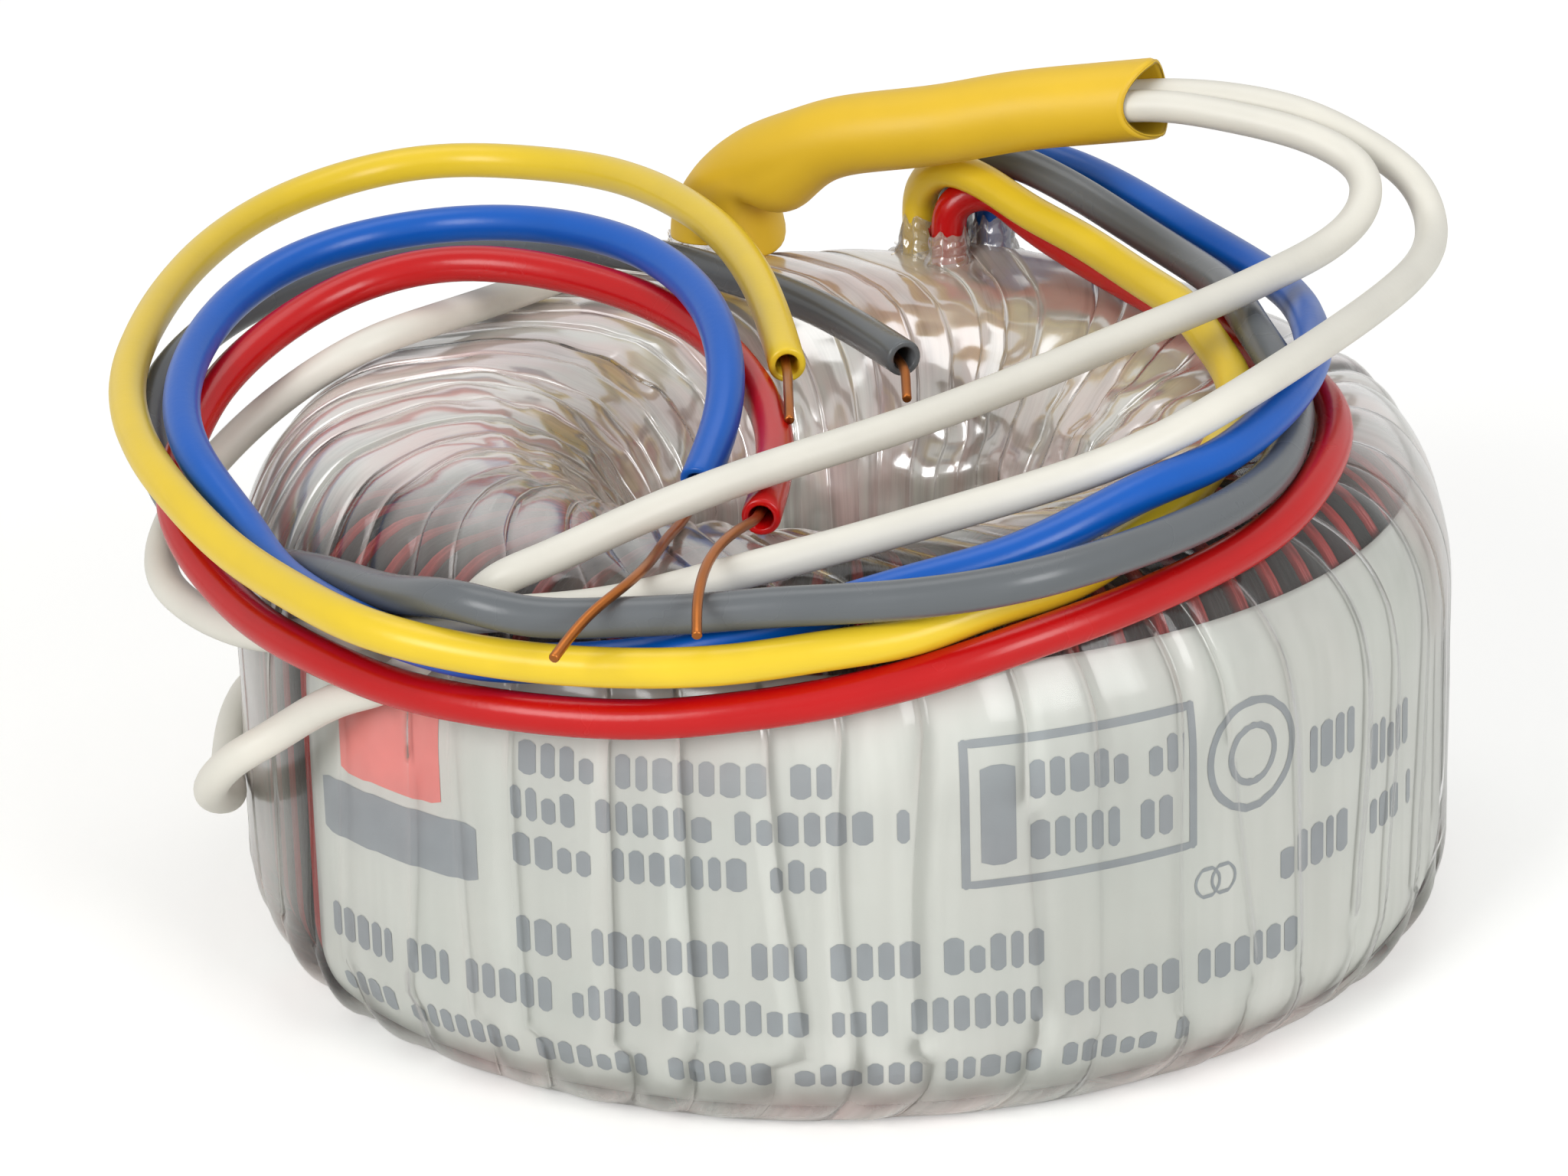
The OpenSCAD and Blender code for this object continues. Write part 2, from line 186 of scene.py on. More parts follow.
whiteRouteB = [
    (0.021, 0.0165, 0.0375), (0.025, 0.015, 0.037), (0.028, 0.014, 0.0355), (0.0305, 0.013, 0.034),
    (0.0315, 0.012, 0.032), (0.031, 0.008, 0.031), (0.0275, -0.002, 0.032), (0.0225, -0.013, 0.033),
    (0.018, -0.019, 0.0325), (0.0135, -0.0215, 0.031), (0.0085, -0.023, 0.03), (0.0035, -0.024, 0.029),
    (-0.0015, -0.025, 0.028), (-0.006, -0.0265, 0.0275), (-0.0105, -0.027, 0.0265),
    (-0.0145, -0.0265, 0.026), (-0.0185, -0.0265, 0.026), (-0.0215, -0.023, 0.024),
    (-0.0245, -0.0195, 0.0225), (-0.0285, -0.0145, 0.0205), (-0.0315, -0.0105, 0.02),
    (-0.034, -0.007, 0.0205), (-0.0345, -0.0035, 0.021), (-0.034, 0.0, 0.022), (-0.032, 0.004, 0.0235),
    (-0.029, 0.007, 0.0255), (-0.0245, 0.0065, 0.0285), (-0.021, 0.01, 0.0285),
    (-0.0175, 0.015, 0.028), (-0.014, 0.019, 0.028),
]
yellowRoute = [
    (0.005, 0.025, 0.0285), (0.005, 0.025, 0.03), (0.0055, 0.0235, 0.0315), (0.0065, 0.022, 0.0325),
    (0.0085, 0.0205, 0.032), (0.0105, 0.018, 0.031), (0.013, 0.015, 0.0305), (0.015, 0.0115, 0.03),
    (0.0165, 0.0075, 0.03), (0.018, 0.004, 0.03), (0.019, 0.001, 0.029), (0.02, -0.003, 0.0285),
    (0.0195, -0.009, 0.0285), (0.0175, -0.016, 0.028), (0.0145, -0.0225, 0.028),
    (0.0105, -0.0265, 0.0265), (0.0065, -0.0285, 0.0265), (0.003, -0.03, 0.0255),
    (-0.001, -0.031, 0.0255), (-0.0055, -0.0315, 0.025), (-0.01, -0.0315, 0.025),
    (-0.0145, -0.0305, 0.025), (-0.019, -0.0295, 0.0255), (-0.023, -0.0275, 0.026),
    (-0.026, -0.023, 0.026), (-0.0295, -0.0175, 0.026), (-0.0325, -0.012, 0.027),
    (-0.035, -0.0055, 0.0275), (-0.0365, 0.0025, 0.028), (-0.036, 0.011, 0.0285),
    (-0.0345, 0.0195, 0.029), (-0.0315, 0.027, 0.0295), (-0.027, 0.0315, 0.03),
    (-0.022, 0.033, 0.0305), (-0.017, 0.032, 0.0305), (-0.012, 0.028, 0.031),
    (-0.0085, 0.0215, 0.0315), (-0.0055, 0.0145, 0.0315), (-0.0035, 0.006, 0.031),
    (-0.0025, -0.0035, 0.03),
]
blueRoute = [
    (0.009, 0.0245, 0.0285), (0.009, 0.0245, 0.03), (0.0095, 0.026, 0.0315), (0.0115, 0.027, 0.0315),
    (0.014, 0.0255, 0.031), (0.0165, 0.022, 0.0305), (0.019, 0.0175, 0.03), (0.022, 0.0125, 0.0295),
    (0.024, 0.0065, 0.0295), (0.024, -0.0005, 0.03), (0.0235, -0.0075, 0.031), (0.022, -0.013, 0.031),
    (0.02, -0.0165, 0.0305), (0.0175, -0.02, 0.03), (0.014, -0.023, 0.03), (0.0105, -0.0255, 0.029),
    (0.007, -0.027, 0.028), (0.003, -0.028, 0.0275), (-0.001, -0.0285, 0.0265),
    (-0.0055, -0.0295, 0.0255), (-0.0095, -0.029, 0.0245), (-0.014, -0.028, 0.024),
    (-0.0175, -0.0275, 0.024), (-0.021, -0.027, 0.025), (-0.0245, -0.0225, 0.025),
    (-0.0275, -0.0175, 0.025), (-0.029, -0.0135, 0.026), (-0.0315, -0.0095, 0.0275),
    (-0.033, -0.0045, 0.0285), (-0.033, 0.0015, 0.0295), (-0.0315, 0.0075, 0.0305),
    (-0.0285, 0.0115, 0.0315), (-0.0245, 0.014, 0.032), (-0.0195, 0.0145, 0.0325),
    (-0.0145, 0.012, 0.033), (-0.01, 0.008, 0.033), (-0.007, 0.0025, 0.0325),
    (-0.0055, -0.0035, 0.0315), (-0.0055, -0.009, 0.0295), (-0.007, -0.0135, 0.0275),
]
redRoute = [
    (0.0065, 0.0225, 0.0285), (0.0065, 0.0225, 0.0295), (0.007, 0.0225, 0.0305),
    (0.009, 0.0225, 0.031), (0.0105, 0.0215, 0.0295), (0.013, 0.0185, 0.0285), (0.016, 0.0135, 0.028),
    (0.0185, 0.0085, 0.028), (0.0205, 0.0045, 0.028), (0.0225, 0.0, 0.028), (0.024, -0.005, 0.0285),
    (0.0245, -0.01, 0.028), (0.023, -0.0155, 0.0275), (0.0205, -0.02, 0.0265), (0.0165, -0.024, 0.026),
    (0.0125, -0.027, 0.0255), (0.008, -0.0295, 0.025), (0.004, -0.0305, 0.024),
    (-0.001, -0.031, 0.023), (-0.0055, -0.031, 0.0225), (-0.0095, -0.0305, 0.022),
    (-0.014, -0.0295, 0.022), (-0.0185, -0.0275, 0.022), (-0.022, -0.025, 0.022),
    (-0.025, -0.0225, 0.0225), (-0.028, -0.0185, 0.0225), (-0.0305, -0.014, 0.023),
    (-0.0325, -0.01, 0.024), (-0.0335, -0.0055, 0.025), (-0.033, -0.0015, 0.026),
    (-0.032, 0.0025, 0.0275), (-0.0295, 0.0065, 0.029), (-0.0255, 0.01, 0.0305),
    (-0.0205, 0.011, 0.0315), (-0.0155, 0.0095, 0.0315), (-0.01, 0.006, 0.031), (-0.006, 0.0015, 0.03),
    (-0.0035, -0.006, 0.029), (-0.003, -0.013, 0.0285), (-0.004, -0.02, 0.028),
]
greyRoute = [
    (0.007, 0.0265, 0.0285), (0.007, 0.0265, 0.03), (0.0075, 0.0245, 0.032), (0.0095, 0.0235, 0.0325),
    (0.0115, 0.022, 0.032), (0.014, 0.02, 0.031), (0.0165, 0.017, 0.03), (0.019, 0.0125, 0.0295),
    (0.0205, 0.0065, 0.03), (0.021, 0.0005, 0.03), (0.022, -0.004, 0.0295), (0.0225, -0.0085, 0.029),
    (0.022, -0.0125, 0.029), (0.021, -0.017, 0.0285), (0.018, -0.0225, 0.0285),
    (0.0135, -0.027, 0.0285), (0.009, -0.0305, 0.0285), (0.005, -0.031, 0.028),
    (0.0005, -0.0305, 0.0275), (-0.0035, -0.0305, 0.0275), (-0.0075, -0.03, 0.027),
    (-0.0115, -0.03, 0.027), (-0.015, -0.03, 0.027), (-0.0185, -0.029, 0.028),
    (-0.0215, -0.024, 0.026), (-0.025, -0.0175, 0.025), (-0.029, -0.011, 0.023),
    (-0.031, -0.0065, 0.0225), (-0.0335, -0.003, 0.023), (-0.035, 0.001, 0.0245),
    (-0.0355, 0.005, 0.026), (-0.0345, 0.009, 0.027), (-0.032, 0.0135, 0.028), (-0.028, 0.018, 0.0285),
    (-0.0225, 0.0205, 0.029), (-0.016, 0.0215, 0.029), (-0.0095, 0.0205, 0.0285),
    (-0.0055, 0.018, 0.028), (-0.0005, 0.012, 0.028), (0.0035, 0.003, 0.028),
]
yellowTail = [
    (-0.0025, -0.006, 0.03), (-0.0025, -0.0085, 0.03), (-0.0025, -0.0105, 0.0295),
]
blueTail = [
    (-0.0075, -0.017, 0.027), (-0.0085, -0.021, 0.0275), (-0.009, -0.025, 0.028),
    (-0.01, -0.0295, 0.0285), (-0.012, -0.032, 0.028), (-0.0135, -0.035, 0.027),
]
redTail = [
    (-0.0045, -0.022, 0.0285), (-0.0055, -0.025, 0.029), (-0.0065, -0.028, 0.029),
    (-0.007, -0.0315, 0.0285), (-0.007, -0.034, 0.0275),
]
greyTail = [
    (0.0035, 0.0015, 0.0275), (0.0035, -0.0005, 0.027),
]


def curveThrough(route, perStep=8):
    # An even cubic curve that runs close by the points and starts and ends on the first and the last.
    points = [Vector(p) for p in route]
    points = [2 * points[0] - points[1]] + points + [2 * points[-1] - points[-2]]
    line = []
    for i in range(1, len(points) - 2):
        steps = perStep + 1 if i == len(points) - 3 else perStep
        for k in range(steps):
            t = k / perStep
            line.append(((1 - t) ** 3 * points[i - 1] + (3 * t ** 3 - 6 * t * t + 4) * points[i]
                         + (-3 * t ** 3 + 3 * t * t + 3 * t + 1) * points[i + 1]
                         + t ** 3 * points[i + 2]) / 6)
    return line


def framesAlong(line):
    # At each point: the way ahead and two directions across it that don't twist.
    frames = []
    side = Vector((0, 1, 0)).cross(line[1] - line[0]).normalized()
    for i in range(len(line)):
        ahead = (line[min(i + 1, len(line) - 1)] - line[max(i - 1, 0)]).normalized()
        side = (side - side.dot(ahead) * ahead).normalized()
        frames.append((ahead, side, ahead.cross(side)))
    return frames


# The rounded end of a hollow and of a solid one as a share of the radius, the rows that the bore goes in,
# and how uneven the wall is: a share of the radius and the length of one swelling.
tubeSet = {"hollowLip": 0.14, "solidLip": 0.3, "boreRows": 40, "uneven": 0.012, "swelling": 6.25}


def sweptTube(name, line, radius, bore, material, sides=24, shape=None):
    # Rows of (point on the line, step along it, radius): the outside, a rounded lip, then the bore. The
    # last argument may be a function that pushes points aside.
    s = tubeSet
    lip = radius * (s["hollowLip"] if bore else s["solidLip"])
    last = len(line) - 1
    rows = [(k, 0, radius) for k in range(last)]
    rows += [(last, -lip, radius), (last, -lip * 0.3, radius - lip * 0.3), (last, 0, radius - lip)]
    if bore:
        rows += [(last, 0, bore + lip * 0.5), (last, -lip * 0.3, bore)]
        rows += [(k, 0, bore) for k in range(last - 1, max(last - s["boreRows"], 0), -1)]
    frames = framesAlong(line)
    points = []
    for k, step, r in rows:
        ahead, side, other = frames[k]
        spot = line[k] + ahead * step
        for j in range(sides):
            angle = tau * j / sides
            out = math.cos(angle) * side + math.sin(angle) * other
            grow = 1 + s["uneven"] * noise.noise(spot * cellScale(s["swelling"]) + out * 0.4)
            push = shape(k / last, out, ahead) if shape else Vector()
            points.append(spot + out * r * grow + push)
    faces = gridFaces(len(rows), sides, False)
    faces.append(tuple(reversed(range(sides))))
    faces.append(tuple((len(rows) - 1) * sides + j for j in range(sides)))
    return addPiece(name, points, faces, material)


def extrudedPvc(name, hexColour, roughness=0.3):
    # Soft PVC drawn through a die: satin skin, slightly cloudy, with a fine orange-peel grain of 0.4 mm.
    material, tree = emptyMaterial(name)
    here = onObject(tree)
    cloud = addNode(tree, "TexNoise", {"Scale": cellScale(3.85), "Detail": 3.0}, here)
    grain = addNode(tree, "TexNoise", {"Scale": cellScale(0.417), "Detail": 2.0}, here)
    base = fromHex(hexColour)
    tint = addNode(tree, "MixRGB", {"Color1": shade(base, 0.86), "Color2": base}, {"Fac": cloud})
    rough = addNode(tree, "MapRange", {"To Min": roughness - 0.07, "To Max": roughness + 0.08},
                    {"Value": cloud})
    bump = addNode(tree, "Bump", {"Strength": 0.12, "Distance": 0.06 * mm}, {"Height": grain})
    shader = addNode(tree, "BsdfPrincipled", {"IOR": 1.53, "Specular IOR Level": 0.33},
                     {"Base Color": tint, "Roughness": rough, "Normal": bump})
    addNode(tree, "OutputMaterial", {}, {"Surface": shader})
    return material


def enamelledCopper(name, hexColour, metallic, roughness=0.32):
    # Copper wire under a baked enamel: a metal sheen tinted by the lacquer, with scuffs of about 1.4 mm.
    material, tree = emptyMaterial(name)
    here = onObject(tree)
    scuff = addNode(tree, "TexNoise", {"Scale": cellScale(1.43), "Detail": 4.0}, here)
    base = fromHex(hexColour)
    tint = addNode(tree, "MixRGB", {"Color1": shade(base, 0.7), "Color2": base}, {"Fac": scuff})
    rough = addNode(tree, "MapRange", {"To Min": roughness - 0.1, "To Max": roughness + 0.12},
                    {"Value": scuff})
    shader = addNode(tree, "BsdfPrincipled", {"Metallic": metallic, "Specular IOR Level": 0.25},
                     {"Base Color": tint, "Roughness": rough})
    addNode(tree, "OutputMaterial", {}, {"Surface": shader})
    return material


# Colours of the paper and of the painted shade in its creases, then the millimetres of its mottles, of its
# fibres, which are drawn coarser than real ones to show, and of its creases across and up.
paperSet = {"dull": "#C2C6BF", "clean": "#DBDCD6", "creaseShade": "#C3C6BF",
            "mottle": 9.1, "fibre": 0.667, "crease": (1.11, 1.11, 16.7)}


def labelPaper():
    # Thin synthetic label paper behind film: off-white, faintly mottled, with painted shade along soft
    # upright creases.
    s = paperSet
    material, tree = emptyMaterial("offWhiteLabelPaper")
    here = onObject(tree)
    mottle = addNode(tree, "TexNoise", {"Scale": cellScale(s["mottle"]), "Detail": 4.0}, here)
    fibre = addNode(tree, "TexNoise", {"Scale": cellScale(s["fibre"]), "Detail": 2.0}, here)
    upright = addNode(tree, "Mapping", {"Scale": [cellScale(size) for size in s["crease"]]}, here)
    crease = addNode(tree, "TexNoise", {"Scale": 1.0, "Detail": 3.0}, {"Vector": upright})
    cloudy = addNode(tree, "MixRGB", {"Color1": fromHex(s["dull"]), "Color2": fromHex(s["clean"])},
                     {"Fac": mottle})
    # Painted shade: upright crease bands darken the paper up to halfway towards the crease shade colour.
    depth = addNode(tree, "MapRange", {"From Min": 0.35, "From Max": 0.65, "To Min": 0.0, "To Max": 0.5},
                    {"Value": crease})
    tint = addNode(tree, "MixRGB", {"Color2": fromHex(s["creaseShade"])}, {"Fac": depth, "Color1": cloudy})
    bump = addNode(tree, "Bump", {"Strength": 0.15, "Distance": 0.04 * mm}, {"Height": fibre})
    shader = addNode(tree, "BsdfPrincipled", {"Roughness": 0.6}, {"Base Color": tint, "Normal": bump})
    addNode(tree, "OutputMaterial", {}, {"Surface": shader})
    return material


def screenInk(name, hexColour):
    # Ink screened on the label: flat and matt, a little thin in patches of about 2 mm.
    material, tree = emptyMaterial(name)
    here = onObject(tree)
    thin = addNode(tree, "TexNoise", {"Scale": cellScale(2.0), "Detail": 3.0}, here)
    base = fromHex(hexColour)
    tint = addNode(tree, "MixRGB", {"Color1": base, "Color2": shade(base, 1.35)}, {"Fac": thin})
    shader = addNode(tree, "BsdfPrincipled", {"Roughness": 0.6}, {"Base Color": tint})
    addNode(tree, "OutputMaterial", {}, {"Surface": shader})
    return material


# Colours of milky film, of the same over the red winding, of a warm brown that is the winding's tint under
# the film and painted shade in the throat, and of the painted highlight on a laid edge. Then what streaks
# do to the haze, the share of haze that mirrors, the range of roughness, and the millimetres of one turn
# and of one step along it in the "filmPlace" values.
filmLook = {"milk": "#C8C7BF", "rosyMilk": "#CCB3AD", "warm": "#A69D8A", "edge": "#E2E0DA",
            "thin": 0.72, "thick": 1.28, "most": 0.97, "mirror": 0.2, "smoothest": 0.07, "dullest": 0.24,
            "turn": 4.0, "step": 2.0}


def filmCells(across, along):
    # Mapping scale for cells of this many millimetres across a turn and along it.
    return (filmLook["turn"] / across, filmLook["step"] / along, 0)


def polyesterFilm():
    # Clear polyester tape wound in many turns: milky where turns lie on each other, tinted by what lies
    # under them, with a painted highlight on laid edges, and glossy all over. "filmPlace" holds the turn
    # number, the way along it and the warmth, which in the throat is painted shade.
    look = filmLook
    material, tree = emptyMaterial("clearPolyesterFilm")
    haze = addNode(tree, "Attribute", {"attribute_name": "haze"}, {})
    place = addNode(tree, "Attribute", {"attribute_name": "filmPlace"}, {})
    inTurns = {"Vector": place.outputs["Vector"]}
    parts = addNode(tree, "SeparateXYZ", {}, inTurns)
    # Broad patches sway the milk between grey and rosy, and fine streaks along the turns vary the haze.
    spread = addNode(tree, "Mapping", {"Scale": filmCells(7.27, 12.5)}, inTurns)
    broad = addNode(tree, "TexNoise", {"Scale": 1.0, "Detail": 3.0, "Roughness": 0.6}, {"Vector": spread})
    thread = addNode(tree, "Mapping", {"Scale": filmCells(1.818, 25.0)}, inTurns)
    streak = addNode(tree, "TexNoise", {"Scale": 1.0, "Detail": 4.0, "Roughness": 0.65},
                     {"Vector": thread})
    sway = addNode(tree, "MapRange", {"From Min": 0.4, "From Max": 0.62}, {"Value": broad})
    milk = addNode(tree, "MixRGB", {"Color1": fromHex(look["milk"]), "Color2": fromHex(look["rosyMilk"])},
                   {"Fac": sway})
    warm = addNode(tree, "MixRGB", {"Color2": fromHex(look["warm"])},
                   {"Fac": parts.outputs["Z"], "Color1": milk})
    vary = addNode(tree, "MapRange", {"From Min": 0.3, "From Max": 0.7,
                                      "To Min": look["thin"], "To Max": look["thick"]},
                   {"Value": streak})
    # Painted highlight: the laid edge of a turn, its last 0.2 mm, shows pale in broken stretches.
    across = addNode(tree, "Math", {"operation": "FRACT"}, {0: parts.outputs["X"]})
    rim = addNode(tree, "MapRange", {"From Min": 0.955, "From Max": 0.995}, {"Value": across})
    along = addNode(tree, "Mapping", {"Scale": filmCells(1.29, 9.09)}, inTurns)
    highlightStretches = addNode(tree, "TexNoise", {"Scale": 1.0, "Detail": 2.0}, {"Vector": along})
    broken = addNode(tree, "MapRange", {"From Min": 0.42, "From Max": 0.66, "To Max": 0.9},
                     {"Value": highlightStretches})
    seenRim = addNode(tree, "Math", {"operation": "MULTIPLY"}, {0: rim, 1: broken})
    rimHighlight = addNode(tree, "Math", {"operation": "MULTIPLY"}, {0: seenRim, 1: haze.outputs["Fac"]})
    milky = addNode(tree, "Math", {"operation": "MULTIPLY_ADD"},
                    {0: haze.outputs["Fac"], 1: vary, 2: rimHighlight})
    cover = addNode(tree, "Math", {"operation": "MINIMUM", 1: look["most"]}, {0: milky})
    # The pale edge colour mixed in here is a painted highlight.
    laid = addNode(tree, "MixRGB", {"Color2": fromHex(look["edge"])}, {"Fac": rimHighlight, "Color1": warm})
    rough = addNode(tree, "MapRange", {"To Min": look["smoothest"], "To Max": look["dullest"]},
                    {"Value": streak})
    dent = addNode(tree, "Bump", {"Strength": 0.12, "Distance": 0.1 * mm}, {"Height": streak})
    body = addNode(tree, "BsdfPrincipled", {"IOR": 1.64, "Specular IOR Level": 0.3},
                   {"Base Color": laid, "Roughness": rough, "Normal": dent})
    clear = addNode(tree, "BsdfTransparent", {}, {})
    layers = addNode(tree, "MixShader", {}, {0: cover, 1: clear, 2: body})
    # Every layer of film mirrors a little, so that hazy places gloss more than one clear sheet does.
    edge = addNode(tree, "LayerWeight", {"Blend": 0.2}, {"Normal": dent})
    gloss = addNode(tree, "BsdfGlossy", {"Color": (1, 1, 1, 1)}, {"Roughness": rough, "Normal": dent})
    mirror = addNode(tree, "Math", {"operation": "MULTIPLY_ADD", 1: look["mirror"]},
                     {0: haze.outputs["Fac"], 2: edge.outputs["Fresnel"]})
    coated = addNode(tree, "MixShader", {}, {0: mirror, 1: layers, 2: gloss})
    addNode(tree, "OutputMaterial", {}, {"Surface": coated})
    return material


def coreStrip(name):
    # Grain-oriented steel strip wound into the core: cold-rolled, with fine lines round the ring. The strip
    # is 0.3 mm thick, and its lines are drawn 0.6 mm apart to show. Rings repeat every tau / 20 of a unit.
    material, tree = emptyMaterial(name)
    here = onObject(tree)
    scale = tau / 20 * cellScale(0.593)
    lines = addNode(tree, "TexWave", {"wave_type": "RINGS", "rings_direction": "Z", "Scale": scale,
                                      "Distortion": 0.4}, here)
    tint = addNode(tree, "MixRGB", {"Color1": fromHex("#6E7072"), "Color2": fromHex("#9A9C9D")},
                   {"Fac": lines.outputs["Fac"]})
    rough = addNode(tree, "MapRange", {"To Min": 0.3, "To Max": 0.5}, {"Value": lines.outputs["Fac"]})
    shader = addNode(tree, "BsdfPrincipled", {"Metallic": 1.0}, {"Base Color": tint, "Roughness": rough})
    addNode(tree, "OutputMaterial", {}, {"Surface": shader})
    return material


def wrappedTape(name, hexColour):
    # Polyester insulating tape wound round the ring: satin, with a laid edge about every 12 mm. Diagonal
    # bands repeat every tau / 10 of the sum of the three directions.
    material, tree = emptyMaterial(name)
    here = onObject(tree)
    scale = tau / 10 / math.sqrt(3) * cellScale(12.1)
    laid = addNode(tree, "TexWave", {"bands_direction": "DIAGONAL", "Scale": scale, "Distortion": 2.0,
                                     "Detail": 2.0}, here)
    base = fromHex(hexColour)
    tint = addNode(tree, "MixRGB", {"Color1": shade(base, 0.75), "Color2": base},
                   {"Fac": laid.outputs["Fac"]})
    bump = addNode(tree, "Bump", {"Strength": 0.2, "Distance": 0.1 * mm}, {"Height": laid.outputs["Fac"]})
    shader = addNode(tree, "BsdfPrincipled", {"IOR": 1.6, "Roughness": 0.35},
                     {"Base Color": tint, "Normal": bump})
    addNode(tree, "OutputMaterial", {}, {"Surface": shader})
    return material


def dress(node, material):
    mesh = frame["nodes"][node].data
    mesh.materials.clear()
    mesh.materials.append(material)


pvcYellow = extrudedPvc("yellowPvcSleeving", "#E7C62F")
pvcBlue = extrudedPvc("bluePvcSleeving", "#0058B6")
pvcRed = extrudedPvc("redPvcSleeving", "#BC0A0C", 0.25)
pvcGrey = extrudedPvc("greyPvcSleeving", "#63676A", 0.26)
pvcWhite = extrudedPvc("whitePvcInsulation", "#E0DDD2", 0.42)
pvcAmber = extrudedPvc("amberPvcSleeve", "#E4BB2C", 0.45)
wireCopper = enamelledCopper("bareEndEnamelledCopper", "#B06A34", 1.0)
strandCopper = enamelledCopper("leadCopper", "#C07A4A", 1.0)
redEnamel = enamelledCopper("redEnamelledCopper", "#A0211C", 0.1)
darkEnamel = enamelledCopper("darkEnamelledCopper", "#151918", 0.1, 0.6)
tailBrown = enamelledCopper("varnishedBrownTail", "#6B3A2C", 0.1, 0.4)
clearFilm = polyesterFilm()
labelStock = labelPaper()
greyInk = screenInk("greyScreenInk", "#868C90")
salmonInk = screenInk("salmonScreenInk", "#D27C76")
dress("steel_core", coreStrip("coldRolledCoreSteel"))
dress("core_insulation", wrappedTape("coreTape", "#C9C4B4"))
dress("primary_winding", enamelledCopper("primaryEnamelledCopper", "#9A4A2A", 0.6))
dress("winding_tape", wrappedTape("innerWindingTape", "#8E8A7E"))
print("materials made")

leadSet = {"sleeve": 1.9, "sleeveBore": 1.2, "wire": 0.5, "white": 1.7, "conductor": 0.8,
           "primarySleeve": 4.3, "primaryBore": 3.8, "sunk": 2.8, "whiteShift": 0.95}


def colouredLead(colour, route, tail, material):
    # The visual sleeve starts a little below its outlet, inside the film that is gathered round it.
    d = leadSet["sleeve"] * mm
    x, y, z = route[0]
    route = [(x, y, z - leadSet["sunk"] * mm)] + route
    line = curveThrough(route)
    sleeve = sweptTube(colour + "Sleeve", line, d / 2, leadSet["sleeveBore"] * mm / 2, material)
    attach(sleeve, "pvc_" + colour, colour + "_sleeve")
    wireLine = curveThrough(route + tail)
    wire = sweptTube(colour + "Wire", wireLine, leadSet["wire"] * mm / 2, 0, wireCopper, 10)
    attach(wire, "enamelled_wire", colour + "_wire")


def whiteLead(letter, route, offset):
    start = [(x, y + offset, z) for x, y, z in sleeveRoute]
    line = curveThrough(start + route)
    d = leadSet["white"] * mm
    bore = leadSet["conductor"] * mm / 2
    lead = sweptTube("whiteLead" + letter.upper(), line, d / 2, bore, pvcWhite)
    attach(lead, "pvc_white", "white_lead_" + letter)
    strand = sweptTube("whiteConductor" + letter.upper(), line, bore, 0, strandCopper, 10)
    attach(strand, "copper", "white_conductor_" + letter)


# Each fold: share of the way along, millimetres of swelling and share over which it fades. The mouth is
# cut askew over its last share.
kinkSet = {"lobe": (0.15, 2.2, 0.075), "crease": (0.25, -1.3, 0.026), "swell": (0.335, 1.3, 0.08),
           "mouthCut": 1.6, "mouthFrom": 0.86}


def primarySleeve():
    line = curveThrough(sleeveRoute, 10)
    d = leadSet["primarySleeve"] * mm
    middle = line[len(line) // 4]
    inward = ((line[0] + line[len(line) // 2]) / 2 - middle).normalized()
    folds = [kinkSet[name] for name in ("lobe", "crease", "swell")]

    def fold(share, out, ahead):
        # The bend folds the sleeve on its inner side: a full lobe below a crease and a swelling past it.
        bulge = sum(size * bell(share, centre, width) for centre, size, width in folds)
        cut = kinkSet["mouthCut"] * smooth(share, kinkSet["mouthFrom"], 1) * max(0, -out.y) ** 1.4
        return (out * bulge * max(0, out.dot(inward)) - ahead * cut) * mm

    sleeve = sweptTube("primarySleeve", line, d / 2, leadSet["primaryBore"] * mm / 2, pvcAmber, 48, fold)
    attach(sleeve, "sleeve_amber", "primary_sleeve")


primarySleeve()
whiteLead("a", whiteRouteA, -leadSet["whiteShift"] * mm)
whiteLead("b", whiteRouteB, leadSet["whiteShift"] * mm)
colouredLead("yellow", yellowRoute, yellowTail, pvcYellow)
colouredLead("blue", blueRoute, blueTail, pvcBlue)
colouredLead("red", redRoute, redTail, pvcRed)
colouredLead("grey", greyRoute, greyTail, pvcGrey)
print("leads made")

# Corners of the ring's section as (across, up) radii, the spacing of its points, and from where its rows
# count as the outer wall or the top.
ringSet = {"outerCorner": (6.5, 9.5), "crown": (11.0, 10.0), "throat": (11.0, 9.0),
           "baseCorner": (4.0, 5.0), "step": 0.1, "wallFrom": 22.0, "topFrom": 18.0}


def cornerPoints(centre, radii, start, steps=40):
    angles = [math.radians(start + 90 * i / steps) for i in range(steps + 1)]
    return [(centre[0] + radii[0] * math.cos(a), centre[1] + radii[1] * math.sin(a)) for a in angles]


